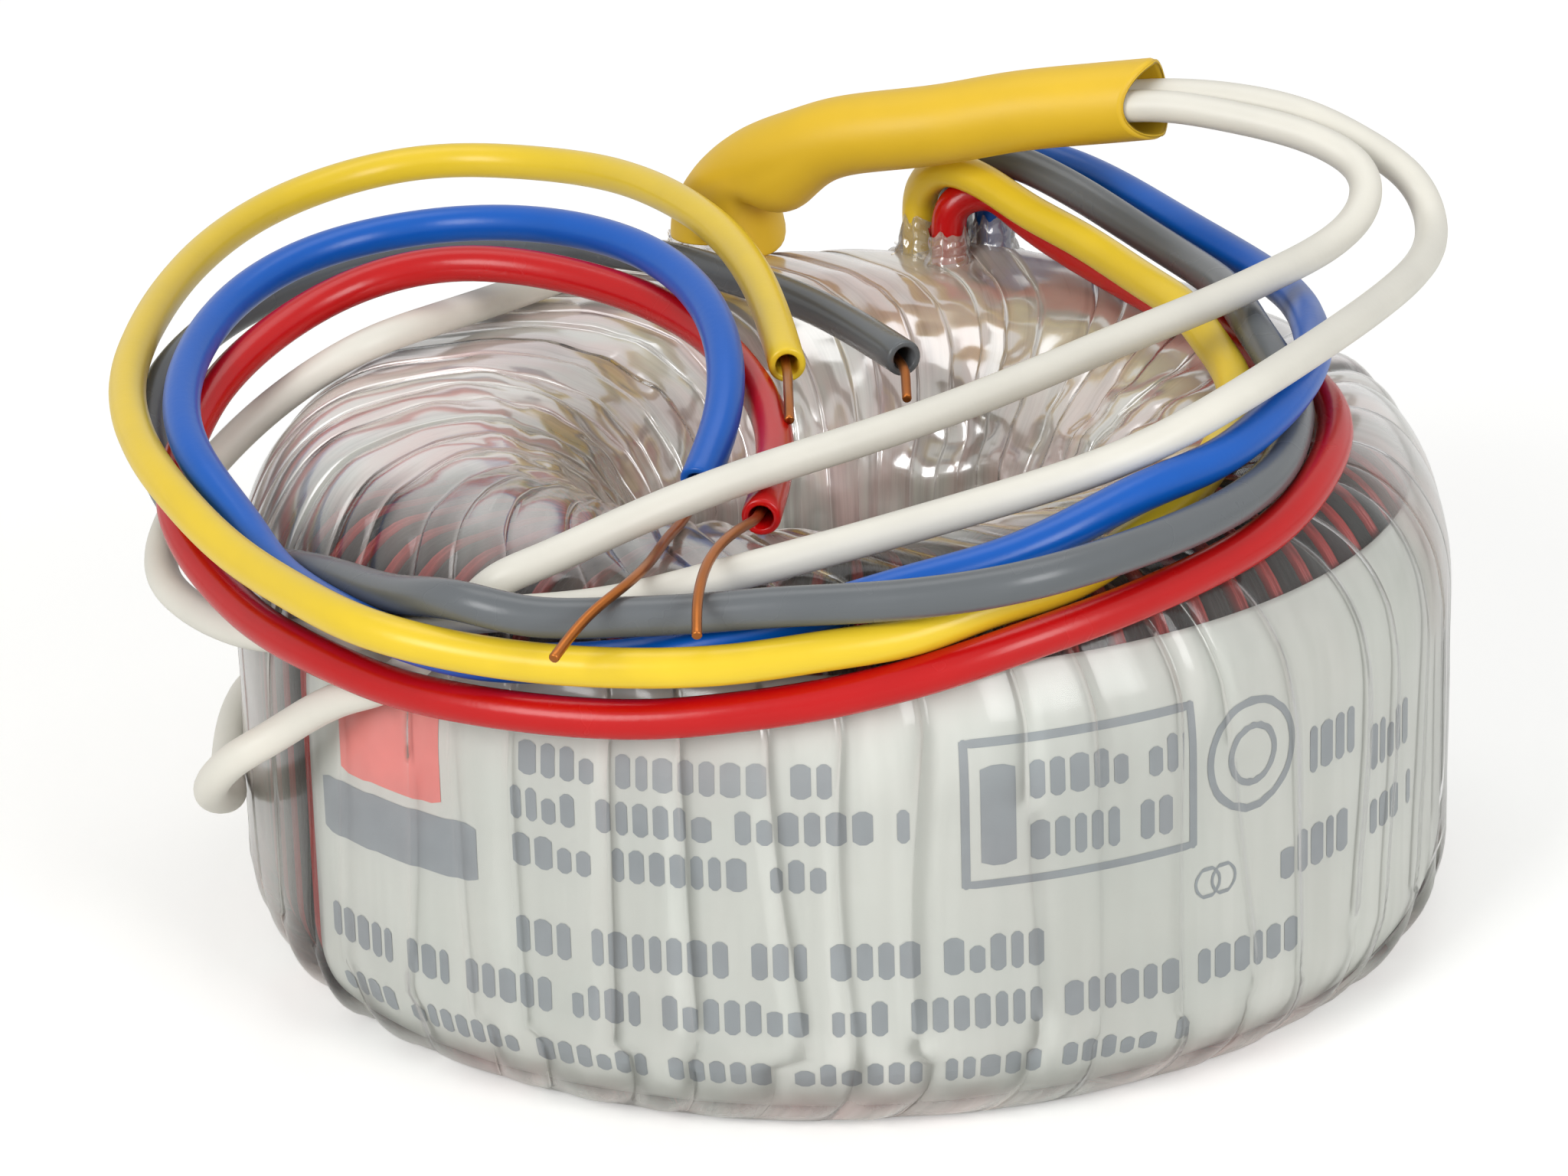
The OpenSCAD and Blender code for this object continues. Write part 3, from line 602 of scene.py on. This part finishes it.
def ringSection():
    # Closed outline from the foot of the outer wall up, over the top, down the hole and back under. A row
    # is (distance along, radius, height, outward normal's two parts).
    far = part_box("outer_film")[1]
    outside = far[0] / mm
    height = far[2] / mm
    hole = next(m for m in frame["record"]["mounts"] if m["kind"] == "bore")["dims"]["r_mm"]
    s = ringSet
    inner = hole + s["crown"][0]
    shoulder = (outside - s["outerCorner"][0], height - s["outerCorner"][1])
    outline = cornerPoints(shoulder, s["outerCorner"], 0)
    outline += cornerPoints((inner, height - s["crown"][1]), s["crown"], 90)
    outline += cornerPoints((inner, s["throat"][1]), s["throat"], 180)
    outline += cornerPoints((outside - s["baseCorner"][0], s["baseCorner"][1]), s["baseCorner"], 270)
    outline.append(outline[0])
    fine = []
    for (r0, z0), (r1, z1) in zip(outline, outline[1:]):
        n = max(1, round(math.hypot(r1 - r0, z1 - z0) / s["step"]))
        fine += [(r0 + (r1 - r0) * k / n, z0 + (z1 - z0) * k / n) for k in range(n)]
    # The outline starts at the lowest point that still lies on the upright wall.
    foot = min(range(len(fine)), key=lambda i: (fine[i][0] < outside - 0.01, fine[i][1]))
    fine = fine[foot:] + fine[:foot]
    table = []
    u = 0
    for i, (r, z) in enumerate(fine):
        before = fine[i - 1]
        after = fine[(i + 1) % len(fine)]
        slope = math.hypot(after[0] - before[0], after[1] - before[1])
        table.append((u, r, z, (after[1] - before[1]) / slope, -(after[0] - before[0]) / slope))
        u += math.hypot(after[0] - r, after[1] - z)
    return table, u


sectionTable, sectionLength = ringSection()
wallRows = [row for row in sectionTable if row[1] >= ringSet["wallFrom"]]
topRows = [row for row in sectionTable if row[2] >= ringSet["topFrom"]]


def onSection(u):
    # Radius, height and outward normal at distance u along the outline.
    place = (u % sectionLength) / sectionLength * len(sectionTable)
    i = int(place) % len(sectionTable)
    while sectionTable[i][0] > u % sectionLength and i > 0:
        i -= 1
    while i + 1 < len(sectionTable) and sectionTable[i + 1][0] <= u % sectionLength:
        i += 1
    return sectionTable[i][1:]


def onBody(u, angle, height):
    # Point at distance u along the section, angle to the right of the front, height above the film.
    r, z, outR, outZ = onSection(u)
    away = r + outR * height
    return Vector((away * math.sin(angle), -away * math.cos(angle), z + outZ * height)) * mm


def wallAt(z):
    # Distance along the section of the point on the outer wall at height z.
    return min(wallRows, key=lambda row: abs(row[2] - z))[0]


def crownAt(r):
    # The same for the point on the top that is r from the axis.
    return min(topRows, key=lambda row: abs(row[1] - r))[0]


def sideOf(angle):
    # Degrees from the front towards the right, between -180 and 180.
    return (math.degrees(angle) + 180) % 360 - 180


print("section length", round(sectionLength, 1))

# The ends of the secondaries run under the film to the outlet, between two sides in degrees from the front,
# as a low ridge of three tails side by side.
ridgeSet = {"from": 163.0, "to": 104.0, "outer": 24.8, "inner": 21.8, "rise": 0.5, "half": 1.5,
            "tail": 1.1, "apart": 0.8, "sway": 0.25, "sunk": 0.62, "dive": 0.9, "steps": 60}


def ridgeRadius(side):
    s = ridgeSet
    return s["outer"] + (s["inner"] - s["outer"]) * (s["from"] - side) / (s["from"] - s["to"])


def ridgeAt(r, z, side):
    # How far the film stands up over the tails.
    s = ridgeSet
    if z < ringSet["topFrom"]:
        return 0
    span = smooth(side, s["to"] - 6, s["to"] + 10) * (1 - smooth(side, s["from"], s["from"] + 6))
    return s["rise"] * span * bell(r, ridgeRadius(side), s["half"])


def buriedTails():
    s = ridgeSet
    tails = (("Red", s["apart"], redEnamel), ("Brown", 0, tailBrown), ("Dark", -s["apart"], darkEnamel))
    for name, shift, material in tails:
        line = []
        for i in range(s["steps"]):
            t = i / (s["steps"] - 1)
            side = s["from"] + (s["to"] - 4 - s["from"]) * t
            sway = s["sway"] * noise.noise(Vector((t * 4, shift, 2)))
            depth = s["sunk"] + s["dive"] * smooth(t, 0.85, 1)
            line.append(onBody(crownAt(ridgeRadius(side) + shift + sway), math.radians(side), -depth))
        tail = sweptTube("buriedTail" + name, line, s["tail"] / 2 * mm, 0, material, 12)
        attach(tail, "secondary_dark")


# Where each part of the film lies: ramps in degrees from the front towards the right, in millimetres from
# the axis or up, or in shares of a turn. A middle is a place that its ramp is measured from.
zoneSet = {
    "top": (15, 20), "innerCrown": (22, 30), "throat": (13, 19), "foot": (0.9, 3.2),
    "rearLeft": (-72, -58), "rearRight": (120, 138), "shoulder": (62, 78), "shoulderEnd": (128, 150),
    "rightMiddle": 37, "right": (36, 56), "leftMiddle": -48, "left": (20, 50), "rightLip": (18.5, 24),
    "warmOuter": (17, 23), "warmInner": (12, 16), "throatShadeMiddle": -75, "throatShade": (10, 60),
    "warmRear": (90, 130), "warmRearEnd": (145, 178), "slitTurns": (0.0, 0.25), "slitEdge": (0.15, 0.5),
    "hole": (13, 24), "crown": (16, 22), "calm": (90, 130),
    "footTop": (3, 6.5), "footBase": (0.2, 1.2), "footWall": (27, 28.5),
}

# Haze that each part adds or takes, from 0, clear, to 1, then the warmth where the winding shows through
# and the painted shade in the throat.
coverSet = {
    "clear": 0.05, "rear": 0.62, "crown": 0.26, "innerCrown": 0.34, "leftCrown": 0.26, "rightLip": 0.75,
    "rightCrown": 0.01, "shoulder": 0.56, "ridge": 0.9, "throat": 0.86, "foot": 0.66, "slit": 0.9,
    "least": 0.03, "most": 0.96, "lap": 0.04, "crownLap": 0.2,
    "warmRight": 0.54, "throatShade": 0.75, "warmRear": 0.35,
    "slitRadius": 26.3, "slitWidth": 2.6,
}


def filmAt(u, angle, x, turn):
    # Haze and warmth of the film at distance u along the section and share x across its turn; the warmth in
    # the throat is painted shade.
    s = coverSet
    zone = zoneSet
    r, z = onSection(u)[:2]
    side = sideOf(angle)
    top = smooth(z, *zone["top"])
    inner = 1 - smooth(r, *zone["innerCrown"])
    throat = 1 - smooth(r, *zone["throat"])
    right = 1 - smooth(abs(side - zone["rightMiddle"]), *zone["right"])
    left = 1 - smooth(abs(side - zone["leftMiddle"]), *zone["left"])
    rear = 1 - smooth(side, *zone["rearLeft"]) + smooth(side, *zone["rearRight"])
    shoulder = smooth(side, *zone["shoulder"]) * (1 - smooth(side, *zone["shoulderEnd"]))
    crown = s["crown"] + s["innerCrown"] * inner - s["leftCrown"] * left * (1 - 0.4 * inner)
    rightCrown = s["rightLip"] * (1 - smooth(r, *zone["rightLip"])) + s["rightCrown"]
    cover = s["clear"] + s["rear"] * rear
    cover += top * (crown * (1 - right) + rightCrown * right + s["shoulder"] * shoulder)
    cover -= s["ridge"] * ridgeAt(r, z, side) * (1 - throat)
    cover = cover * (1 - throat) + s["throat"] * throat
    cover += s["foot"] * (1 - smooth(z, *zone["foot"]))
    # Near the rim the under edge of a turn stays clear for a few millimetres and shows what lies below.
    slit = smooth(noise.noise(Vector((turn * 3.7, r * 0.12, 1.5))), *zone["slitTurns"])
    slit *= (1 - smooth(x, *zone["slitEdge"])) * bell(r, s["slitRadius"], s["slitWidth"])
    slit *= top * (1 - right)
    cover *= 1 - s["slit"] * slit
    warm = s["warmRight"] * right * (1 - smooth(r, *zone["warmOuter"])) * smooth(r, *zone["warmInner"])
    # Painted shade: a brown patch on the left of the throat, where the hole lies in shadow.
    fromThroatShade = abs(sideOf(angle - math.radians(zone["throatShadeMiddle"])))
    warm += s["throatShade"] * throat * (1 - smooth(fromThroatShade, *zone["throatShade"]))
    warmRear = smooth(side, *zone["warmRear"]) * (1 - smooth(side, *zone["warmRearEnd"]))
    warm += s["warmRear"] * top * inner * warmRear
    return cover, warm


def storeValues(piece, haze, place):
    # What the film's material reads at each point.
    mark = piece.data.attributes.new("haze", "FLOAT", "POINT")
    mark.data.foreach_set("value", haze)
    mark = piece.data.attributes.new("filmPlace", "FLOAT_VECTOR", "POINT")
    mark.data.foreach_set("vector", [v for p in place for v in p])


# Turns of the film and the points across one, then how it lies: laps, pleats, lumps, flutes and crumples in
# millimetres, and how far a turn leans over in degrees from the radius swirlFrom inwards.
filmSet = {"turns": 48, "columns": 11, "rowStep": 0.58, "lap": 0.014, "crownLap": 0.08,
           "swirl": -35.0, "swirlFrom": 30.6, "swirlOver": 19.0,
           "crownPleat": 0.22, "footPleat": 0.34, "lump": 0.12, "flute": 0.05,
           "grain": 0.02, "crumple": 0.4, "fineCrumple": 0.12, "rearCalm": 0.65, "floorGap": 0.03,
           "edgeShift": 0.22, "lifts": (0.3, 0.7, 1.0, 1.6), "milk": (0.86, 1.12)}


def filmSkin():
    s = filmSet
    zone = zoneSet
    chance = random.Random(7)
    rows = round(sectionLength / s["rowStep"])
    turns = s["turns"]
    edges = [(i + chance.uniform(-s["edgeShift"], s["edgeShift"])) / turns for i in range(turns)]
    edges.append(edges[0] + 1)
    lift = [chance.choice(s["lifts"]) for _ in range(turns)]
    milk = [chance.uniform(*s["milk"]) for _ in range(turns)]
    columns = [(i, c / (s["columns"] - 1)) for i in range(turns) for c in range(s["columns"])]
    points = []
    haze = []
    place = []
    for k in range(rows):
        u = k * sectionLength / rows
        r, z = onSection(u)[:2]
        t = min(1, max(0, (s["swirlFrom"] - r) / s["swirlOver"]))
        swirl = math.radians(s["swirl"]) * (0.6 * t + 0.4 * smooth(t, 0, 1))
        hole = 1 - smooth(r, *zone["hole"])
        crown = smooth(z, *zone["crown"]) * (1 - 0.4 * hole)
        foot = (1 - smooth(z, *zone["footTop"])) * smooth(z, *zone["footBase"])
        foot *= smooth(r, *zone["footWall"])
        for i, x in columns:
            share = edges[i] + (edges[i + 1] - edges[i]) * x
            bend = noise.noise(Vector((4 * math.cos(tau * share), 4 * math.sin(tau * share), u * 0.05)))
            angle = tau * (share + 0.5 / turns * bend) + swirl
            side = sideOf(angle)
            spot = Vector((r * math.cos(angle), r * math.sin(angle), z))
            calm = 1 - s["rearCalm"] * smooth(abs(side), *zone["calm"])
            height = (s["lap"] + (s["crownLap"] - s["lap"]) * crown) * lift[i] * (x - 1)
            pleat = s["crownPleat"] * crown * calm + s["footPleat"] * foot
            height += pleat * (4 * x * (1 - x) - 0.6) * lift[i]
            height += s["lump"] * noise.noise(spot * 0.14)
            height += s["flute"] * noise.noise(Vector((math.degrees(angle) * 0.16, z * 0.03, 4)))
            height += (s["grain"] + s["crumple"] * hole) * noise.noise(spot * 0.5 + Vector((0, 0, 20)))
            height += s["fineCrumple"] * hole * calm * noise.noise(spot * 1.2)
            height += ridgeAt(r, z, side)
            point = onBody(u, angle, height)
            point.z = max(point.z, s["floorGap"] * mm)
            points.append(point)
            cover, warm = filmAt(u, angle, x, i)
            cover *= milk[i]
            if x == 1:
                cover += coverSet["lap"] + coverSet["crownLap"] * crown
            haze.append(min(coverSet["most"], max(coverSet["least"], cover)))
            place.append((i + x, u / filmLook["step"], min(1, warm)))
    across = len(columns)
    skin = addPiece("clearFilmSkin", points, gridFaces(rows, across, True), clearFilm)
    # The strip between one turn and the next stays flat, so that the lap shows as an edge.
    last = s["columns"] - 1
    flat = [c % s["columns"] != last for k in range(rows) for c in range(across)]
    skin.data.polygons.foreach_set("use_smooth", flat)
    storeValues(skin, haze, place)
    attach(skin, "clear_film", "outer_film", "under_film")


buriedTails()
filmSkin()
print("film made")

# Film drawn up round the leads: its middle, its foot and its mouth in plan, the heights between which it
# stands, and its pleats. A cuff stands on each coloured lead and ends just proud of the lead's first point.
collarSet = {"rows": 22, "haze": 0.34, "most": 0.95, "ripple": 0.05, "lip": 0.7, "dent": 0.12, "sway": 1.6}
sleeveCollar = {"centre": (-6.5, 26.9), "foot": (4.2, 3.4), "mouth": (2.3, 2.3), "low": 24.3,
                "high": 27.2, "warm": 0.25, "seed": 3, "pleats": 13, "gather": 0.12}
secondaryCollar = {"centre": (6.8, 24.7), "foot": (6.0, 4.4), "mouth": (3.2, 3.0), "low": 25.3,
                   "high": 27.0, "warm": 0.7, "seed": 8, "pleats": 13, "gather": 0.12}
leadCuff = {"foot": (1.8, 1.8), "mouth": (1.0, 1.0), "low": 25.8, "proud": 0.3,
            "warm": 0.6, "seed": 11, "pleats": 4, "gather": 0.07}


def filmCollar(name, node, shape):
    s = collarSet
    x, y = shape["centre"]
    low = shape["low"]
    high = shape["high"]
    seed = shape["seed"]
    around = max(48, shape["pleats"] * 8)
    points = []
    haze = []
    place = []
    for k in range(s["rows"]):
        t = k / (s["rows"] - 1)
        rise = low + (high - low) * t
        drape = (1 - t) ** 1.8
        wide, deep = (top + (foot - top) * drape for foot, top in zip(shape["foot"], shape["mouth"]))
        for c in range(around):
            angle = tau * c / around
            out = Vector((math.cos(angle), math.sin(angle), 0))
            sway = s["sway"] * noise.noise(out * 1.5 + Vector((seed, t * 0.8, 0)))
            gather = shape["gather"] * (0.5 + 0.5 * math.sin(shape["pleats"] * angle + sway))
            rough = 1 + gather * (0.3 + t)
            rough += s["dent"] * noise.noise(Vector((out.x * 2, out.y * 2, t * 2.5 + seed)))
            rough += s["ripple"] * math.sin(t * 19 + 3 * noise.noise(out + Vector((seed, 5, 0))))
            lip = s["lip"] * noise.noise(Vector((out.x * 2.5, out.y * 2.5, seed + 9))) * t
            spot = Vector((x + out.x * wide * rough, y + out.y * deep * rough, rise + lip))
            points.append(spot * mm)
            haze.append(min(s["most"], s["haze"] + 2 * gather))
            place.append((c * 0.12, t * 4, shape["warm"]))
    collar = addPiece(name, points, gridFaces(s["rows"], around, False), clearFilm)
    storeValues(collar, haze, place)
    attach(collar, "clear_film", *([node] if node else []))


filmCollar("gatheredFilmAtSleeve", "primary_collar", sleeveCollar)
filmCollar("gatheredFilmAtSecondaries", "secondary_collar", secondaryCollar)
for i, route in enumerate((yellowRoute, redRoute, blueRoute, greyRoute)):
    x, y, z = (v / mm for v in route[0])
    cuff = {**leadCuff, "centre": (x, y), "high": z + leadCuff["proud"], "seed": leadCuff["seed"] + i}
    filmCollar("filmCuff" + str(i + 1), "", cuff)
print("collars made")

# Turns of each secondary, the degrees where the first lies, the share of a pitch that the red one takes,
# the degrees between two bands and of their sway, and how deep, thick and grooved the bands are.
turnSet = {"turns": 72, "first": 0.7, "share": 0.4, "gap": 0.38, "sway": 0.5, "depth": 1.05,
           "thickness": 0.72, "groove": 0.34, "rows": 84, "pointsPerWire": 4}


def secondary(name, node, startShare, share, wires, material, slotName):
    # Each turn is a flat band of wires that lie side by side; its width shrinks with the radius.
    s = turnSet
    pitch = 360 / s["turns"]
    across = wires * s["pointsPerWire"] + 1
    width = pitch * share - s["gap"]
    under = s["depth"] + s["thickness"]
    points = []
    faces = []
    for i in range(s["turns"]):
        start = s["first"] + (i + startShare) * pitch - 90
        sway = s["sway"] * noise.noise(Vector((i * 1.7, 0, 0)))
        faces += gridFaces(s["rows"], across + 2, True, len(points))
        for k in range(s["rows"]):
            u = sectionLength * k / s["rows"]
            swayed = start + sway * math.sin(tau * k / s["rows"])
            row = []
            for c in range(across):
                t = c / (across - 1)
                bulge = abs(math.sin(math.pi * wires * t)) ** 0.7
                row.append((t, s["depth"] + s["groove"] * (1 - bulge)))
            row += [(1, under), (0, under)]
            points += [onBody(u, math.radians(swayed + width * t), -depth) for t, depth in row]
    piece = addPiece(name, points, faces, material)
    attach(piece, slotName, node)


redShare = turnSet["share"]
secondary("secondaryWindingRed", "secondary_winding_a", 0, redShare, 2, redEnamel, "secondary_red")
secondary("secondaryWindingDark", "secondary_winding_b", redShare, 1 - redShare, 3, darkEnamel,
          "secondary_dark")
print("windings made")

# The label's ends in degrees from the front, its edges up the wall, how far its two faces lie from the
# film's outside, its soft waves, and its grid of points.
labelSet = {"from": -60.0, "to": 130.0, "bottom": 1.2, "top": 23.8, "front": -0.45, "back": -0.6,
            "wave": 0.03, "columns": 191, "rows": 56}


def labelRow(z):
    # Distance along the section of the label at height z, below zero where it turns in under the foot.
    u = wallAt(z)
    return u - sectionLength if u > sectionLength / 2 else u


def onSheet(u, side, depth):
    # Point of the label's waved sheet; depth is from the film's outside, and less than 0 inside it.
    angle = math.radians(side)
    wave = labelSet["wave"] * noise.noise(Vector((angle * 9, u * 0.12, 5)))
    return onBody(u, angle, depth + wave)


def label():
    s = labelSet
    columns = s["columns"]
    rows = s["rows"]
    low = labelRow(s["bottom"])
    high = labelRow(s["top"])
    points = []
    for depth in (s["front"], s["back"]):
        for k in range(rows):
            u = low + (high - low) * k / (rows - 1)
            for c in range(columns):
                points.append(onSheet(u, s["from"] + (s["to"] - s["from"]) * c / (columns - 1), depth))
    sheet = rows * columns
    faces = []
    for k in range(rows - 1):
        for c in range(columns - 1):
            a = k * columns + c
            faces.append((a, a + 1, a + columns + 1, a + columns))
            faces.append((sheet + a, sheet + a + columns, sheet + a + columns + 1, sheet + a + 1))
    rim = list(range(columns)) + [k * columns + columns - 1 for k in range(1, rows)]
    rim += [(rows - 1) * columns + c for c in range(columns - 2, -1, -1)]
    rim += [k * columns for k in range(rows - 2, 0, -1)]
    for a, b in zip(rim, rim[1:] + rim[:1]):
        faces.append((b, a, sheet + a, sheet + b))
    piece = addPiece("paperLabel", points, faces, labelStock)
    attach(piece, "label_paper", "rating_label")


# Height of the ink over the paper, the radius that it is bent round and the points round a ring. Then the
# degrees and millimetres between the points of a bar, and the most that its corners are cut.
inkSet = {"proud": 0.025, "radius": 31.0, "around": 36, "across": 1.2, "up": 0.7, "corner": 0.18}


def onLabel(side, z):
    # Point just proud of the label, side degrees from the front and z millimetres up.
    return onSheet(labelRow(z), side, labelSet["front"] + inkSet["proud"])


def ringShape(base, side, z, radius, line):
    n = inkSet["around"]
    points = []
    for i in range(n):
        a = tau * i / n
        for r in (radius, radius - line):
            reach = math.degrees(r * math.cos(a) / inkSet["radius"])
            points.append(onLabel(side + reach, z + r * math.sin(a)))
    faces = [(base + 2 * i, base + (2 * i + 2) % (2 * n), base + (2 * i + 3) % (2 * n), base + 2 * i + 1)
             for i in range(n)]
    return points, faces


def barShape(base, start, end, low, high, slant):
    # A bar with cut corners that climbs by slant over its length.
    tall = high - low
    across = max(3, round((end - start) / inkSet["across"]))
    up = max(2, round(tall / inkSet["up"]))
    points = []
    for c in range(across + 1):
        t = c / across
        cut = min(inkSet["corner"], tall * 0.2) if c in (0, across) else 0
        for k in range(up + 1):
            z = low + cut + (tall - 2 * cut) * k / up + slant * t
            points.append(onLabel(start + (end - start) * t, z))
    faces = []
    for c in range(across):
        here = base + c * (up + 1)
        there = here + up + 1
        faces += [(here + k, there + k, there + k + 1, here + k + 1) for k in range(up)]
    return points, faces


def inkPiece(name, material, bars, rings=()):
    points = []
    faces = []
    for build, shapes in ((barShape, bars), (ringShape, rings)):
        for shape in shapes:
            more, sides = build(len(points), *shape)
            points += more
            faces += sides
    piece = addPiece(name, points, faces, material, False)
    attach(piece, "label_paper")


# Rows of plain bars stand where a rating would be printed: side from, side to, low, high. A bar or a field
# has its slant after them, and a ring is side, height, radius, line.
printSet = {
    "rows": [(-31, -2, 17.9, 19.6), (-32, 5, 15.5, 17.2), (-32, -2, 13.1, 14.8), (-32, 17, 8.6, 10.5),
             (-57, 46, 5.7, 7.5), (-56, 31, 2.8, 4.2), (42, 52, 9.6, 11.8), (46, 53, 14.5, 16.9),
             (56, 66, 12.8, 15.2), (56, 66, 9.4, 11.2)],
    "box": (9.2, 32.0, 12.9, 20.45), "boxLine": (0.8, 0.45), "boxBlock": (11, 14.2, 14.0, 19.1, 0),
    "boxRows": [(15.5, 30, 17.1, 19.1), (15.5, 30, 14.0, 16.0)],
    "rings": [(38.5, 16.8, 2.9, 0.4), (38.5, 16.8, 1.6, 0.35),
              (33.2, 10.9, 0.8, 0.16), (35.0, 10.9, 0.8, 0.16)],
    "greyField": (-57.5, -36, 11.2, 14.2, 0.4), "salmonField": (-54, -40, 14.9, 20.6, 0.2),
    "widths": (1.1, 1.4, 1.4, 1.8), "insets": (0, 0, 0, 0, 0.25), "gap": 0.5, "wordGap": 1.6,
}


def barsInRow(row, chance):
    bars = []
    side, end, low, high = row
    left = chance.randint(3, 6)
    while side < end - 1:
        wide = chance.choice(printSet["widths"])
        inset = chance.choice(printSet["insets"]) * (high - low)
        bars.append((side, min(side + wide, end), low, high - inset, 0))
        side += wide + printSet["gap"]
        left -= 1
        if left == 0:
            side += printSet["wordGap"]
            left = chance.randint(3, 7)
    return bars


def labelPrint():
    s = printSet
    chance = random.Random(21)
    start, end, low, high = s["box"]
    wide, tall = s["boxLine"]
    bars = [bar for row in s["rows"] for bar in barsInRow(row, chance)]
    bars += [(start, end, high - tall, high, 0), (start, end, low, low + tall, 0)]
    bars += [(start, start + wide, low, high, 0), (end - wide, end, low, high, 0), s["boxBlock"]]
    bars += [bar for row in s["boxRows"] for bar in barsInRow(row, chance)]
    bars.append(s["greyField"])
    inkPiece("labelGreyPrint", greyInk, bars, s["rings"])
    inkPiece("labelSalmonField", salmonInk, [s["salmonField"]])


label()
labelPrint()
print("label made")

floorSet = {"half": 1500.0, "colour": "#F2F2F0", "mottle": 25.0, "lift": 0.28}


def stageFloor():
    # Pale seamless paper, a little mottled; the camera sees it as white outside the object's shadow.
    h = floorSet["half"] * mm
    material, tree = emptyMaterial("seamlessPaper")
    here = onObject(tree)
    mottle = addNode(tree, "TexNoise", {"Scale": cellScale(floorSet["mottle"]), "Detail": 3.0}, here)
    base = fromHex(floorSet["colour"])
    tint = addNode(tree, "MixRGB", {"Color1": shade(base, 0.985), "Color2": base}, {"Fac": mottle})
    shader = addNode(tree, "BsdfPrincipled", {"Roughness": 0.9, "Specular IOR Level": 0.2},
                     {"Base Color": tint})
    path = addNode(tree, "LightPath", {}, {})
    lift = addNode(tree, "Math", {"operation": "MULTIPLY", 1: floorSet["lift"]},
                   {0: path.outputs["Is Camera Ray"]})
    glow = addNode(tree, "Emission", {"Color": (1, 1, 1, 1)}, {"Strength": lift})
    both = addNode(tree, "AddShader", {}, {0: shader, 1: glow})
    addNode(tree, "OutputMaterial", {}, {"Surface": both})
    corners = [(-h, -h, 0), (h, -h, 0), (h, h, 0), (-h, h, 0)]
    floor = addPiece("floor", corners, [(0, 1, 2, 3)], material, False)


# Place and size in metres and power in watts of each soft box, and where they all point.
lampSet = {
    "leftSoftbox": ((-0.42, -0.55, 0.36), (0.34, 0.34), 3.1),
    "rightSoftbox": ((0.45, -0.55, 0.32), (0.3, 0.36), 2.6),
    "topSoftbox": ((0.0, 0.12, 0.62), (0.5, 0.3), 0.9),
}
lampAim = (0, 0, 0.015)
skySet = {"seen": 1.0, "lit": 0.39}


def areaLight(name, place, size, power):
    data = bpy.data.lights.new(name, "AREA")
    data.shape = "RECTANGLE"
    data.size, data.size_y = size
    data.energy = power
    lamp = bpy.data.objects.new(name, data)
    lamp.location = place
    lamp.rotation_euler = (Vector(lampAim) - Vector(place)).to_track_quat("-Z", "Y").to_euler()
    bpy.context.collection.objects.link(lamp)


def softSky():
    # White to the eye and in gloss and glass, and a dimmer even light on everything else.
    sky = bpy.data.worlds.new("softStudio")
    bpy.context.scene.world = sky
    sky.use_nodes = True
    tree = sky.node_tree
    tree.nodes.clear()
    path = addNode(tree, "LightPath", {}, {})
    sharp = addNode(tree, "Math", {"operation": "MAXIMUM"},
                    {0: path.outputs["Is Camera Ray"], 1: path.outputs["Is Glossy Ray"]})
    direct = addNode(tree, "Math", {"operation": "MAXIMUM"},
                     {0: sharp, 1: path.outputs["Is Transmission Ray"]})
    seen = addNode(tree, "Background", {"Color": (1, 1, 1, 1), "Strength": skySet["seen"]}, {})
    lit = addNode(tree, "Background", {"Color": (1, 1, 1, 1), "Strength": skySet["lit"]}, {})
    mix = addNode(tree, "MixShader", {}, {0: direct, 1: lit, 2: seen})
    addNode(tree, "OutputWorld", {}, {"Surface": mix})


stageFloor()
softSky()
for name, (place, size, power) in lampSet.items():
    areaLight(name, place, size, power)
bpy.context.scene.view_settings.view_transform = "Standard"
print("stage made")
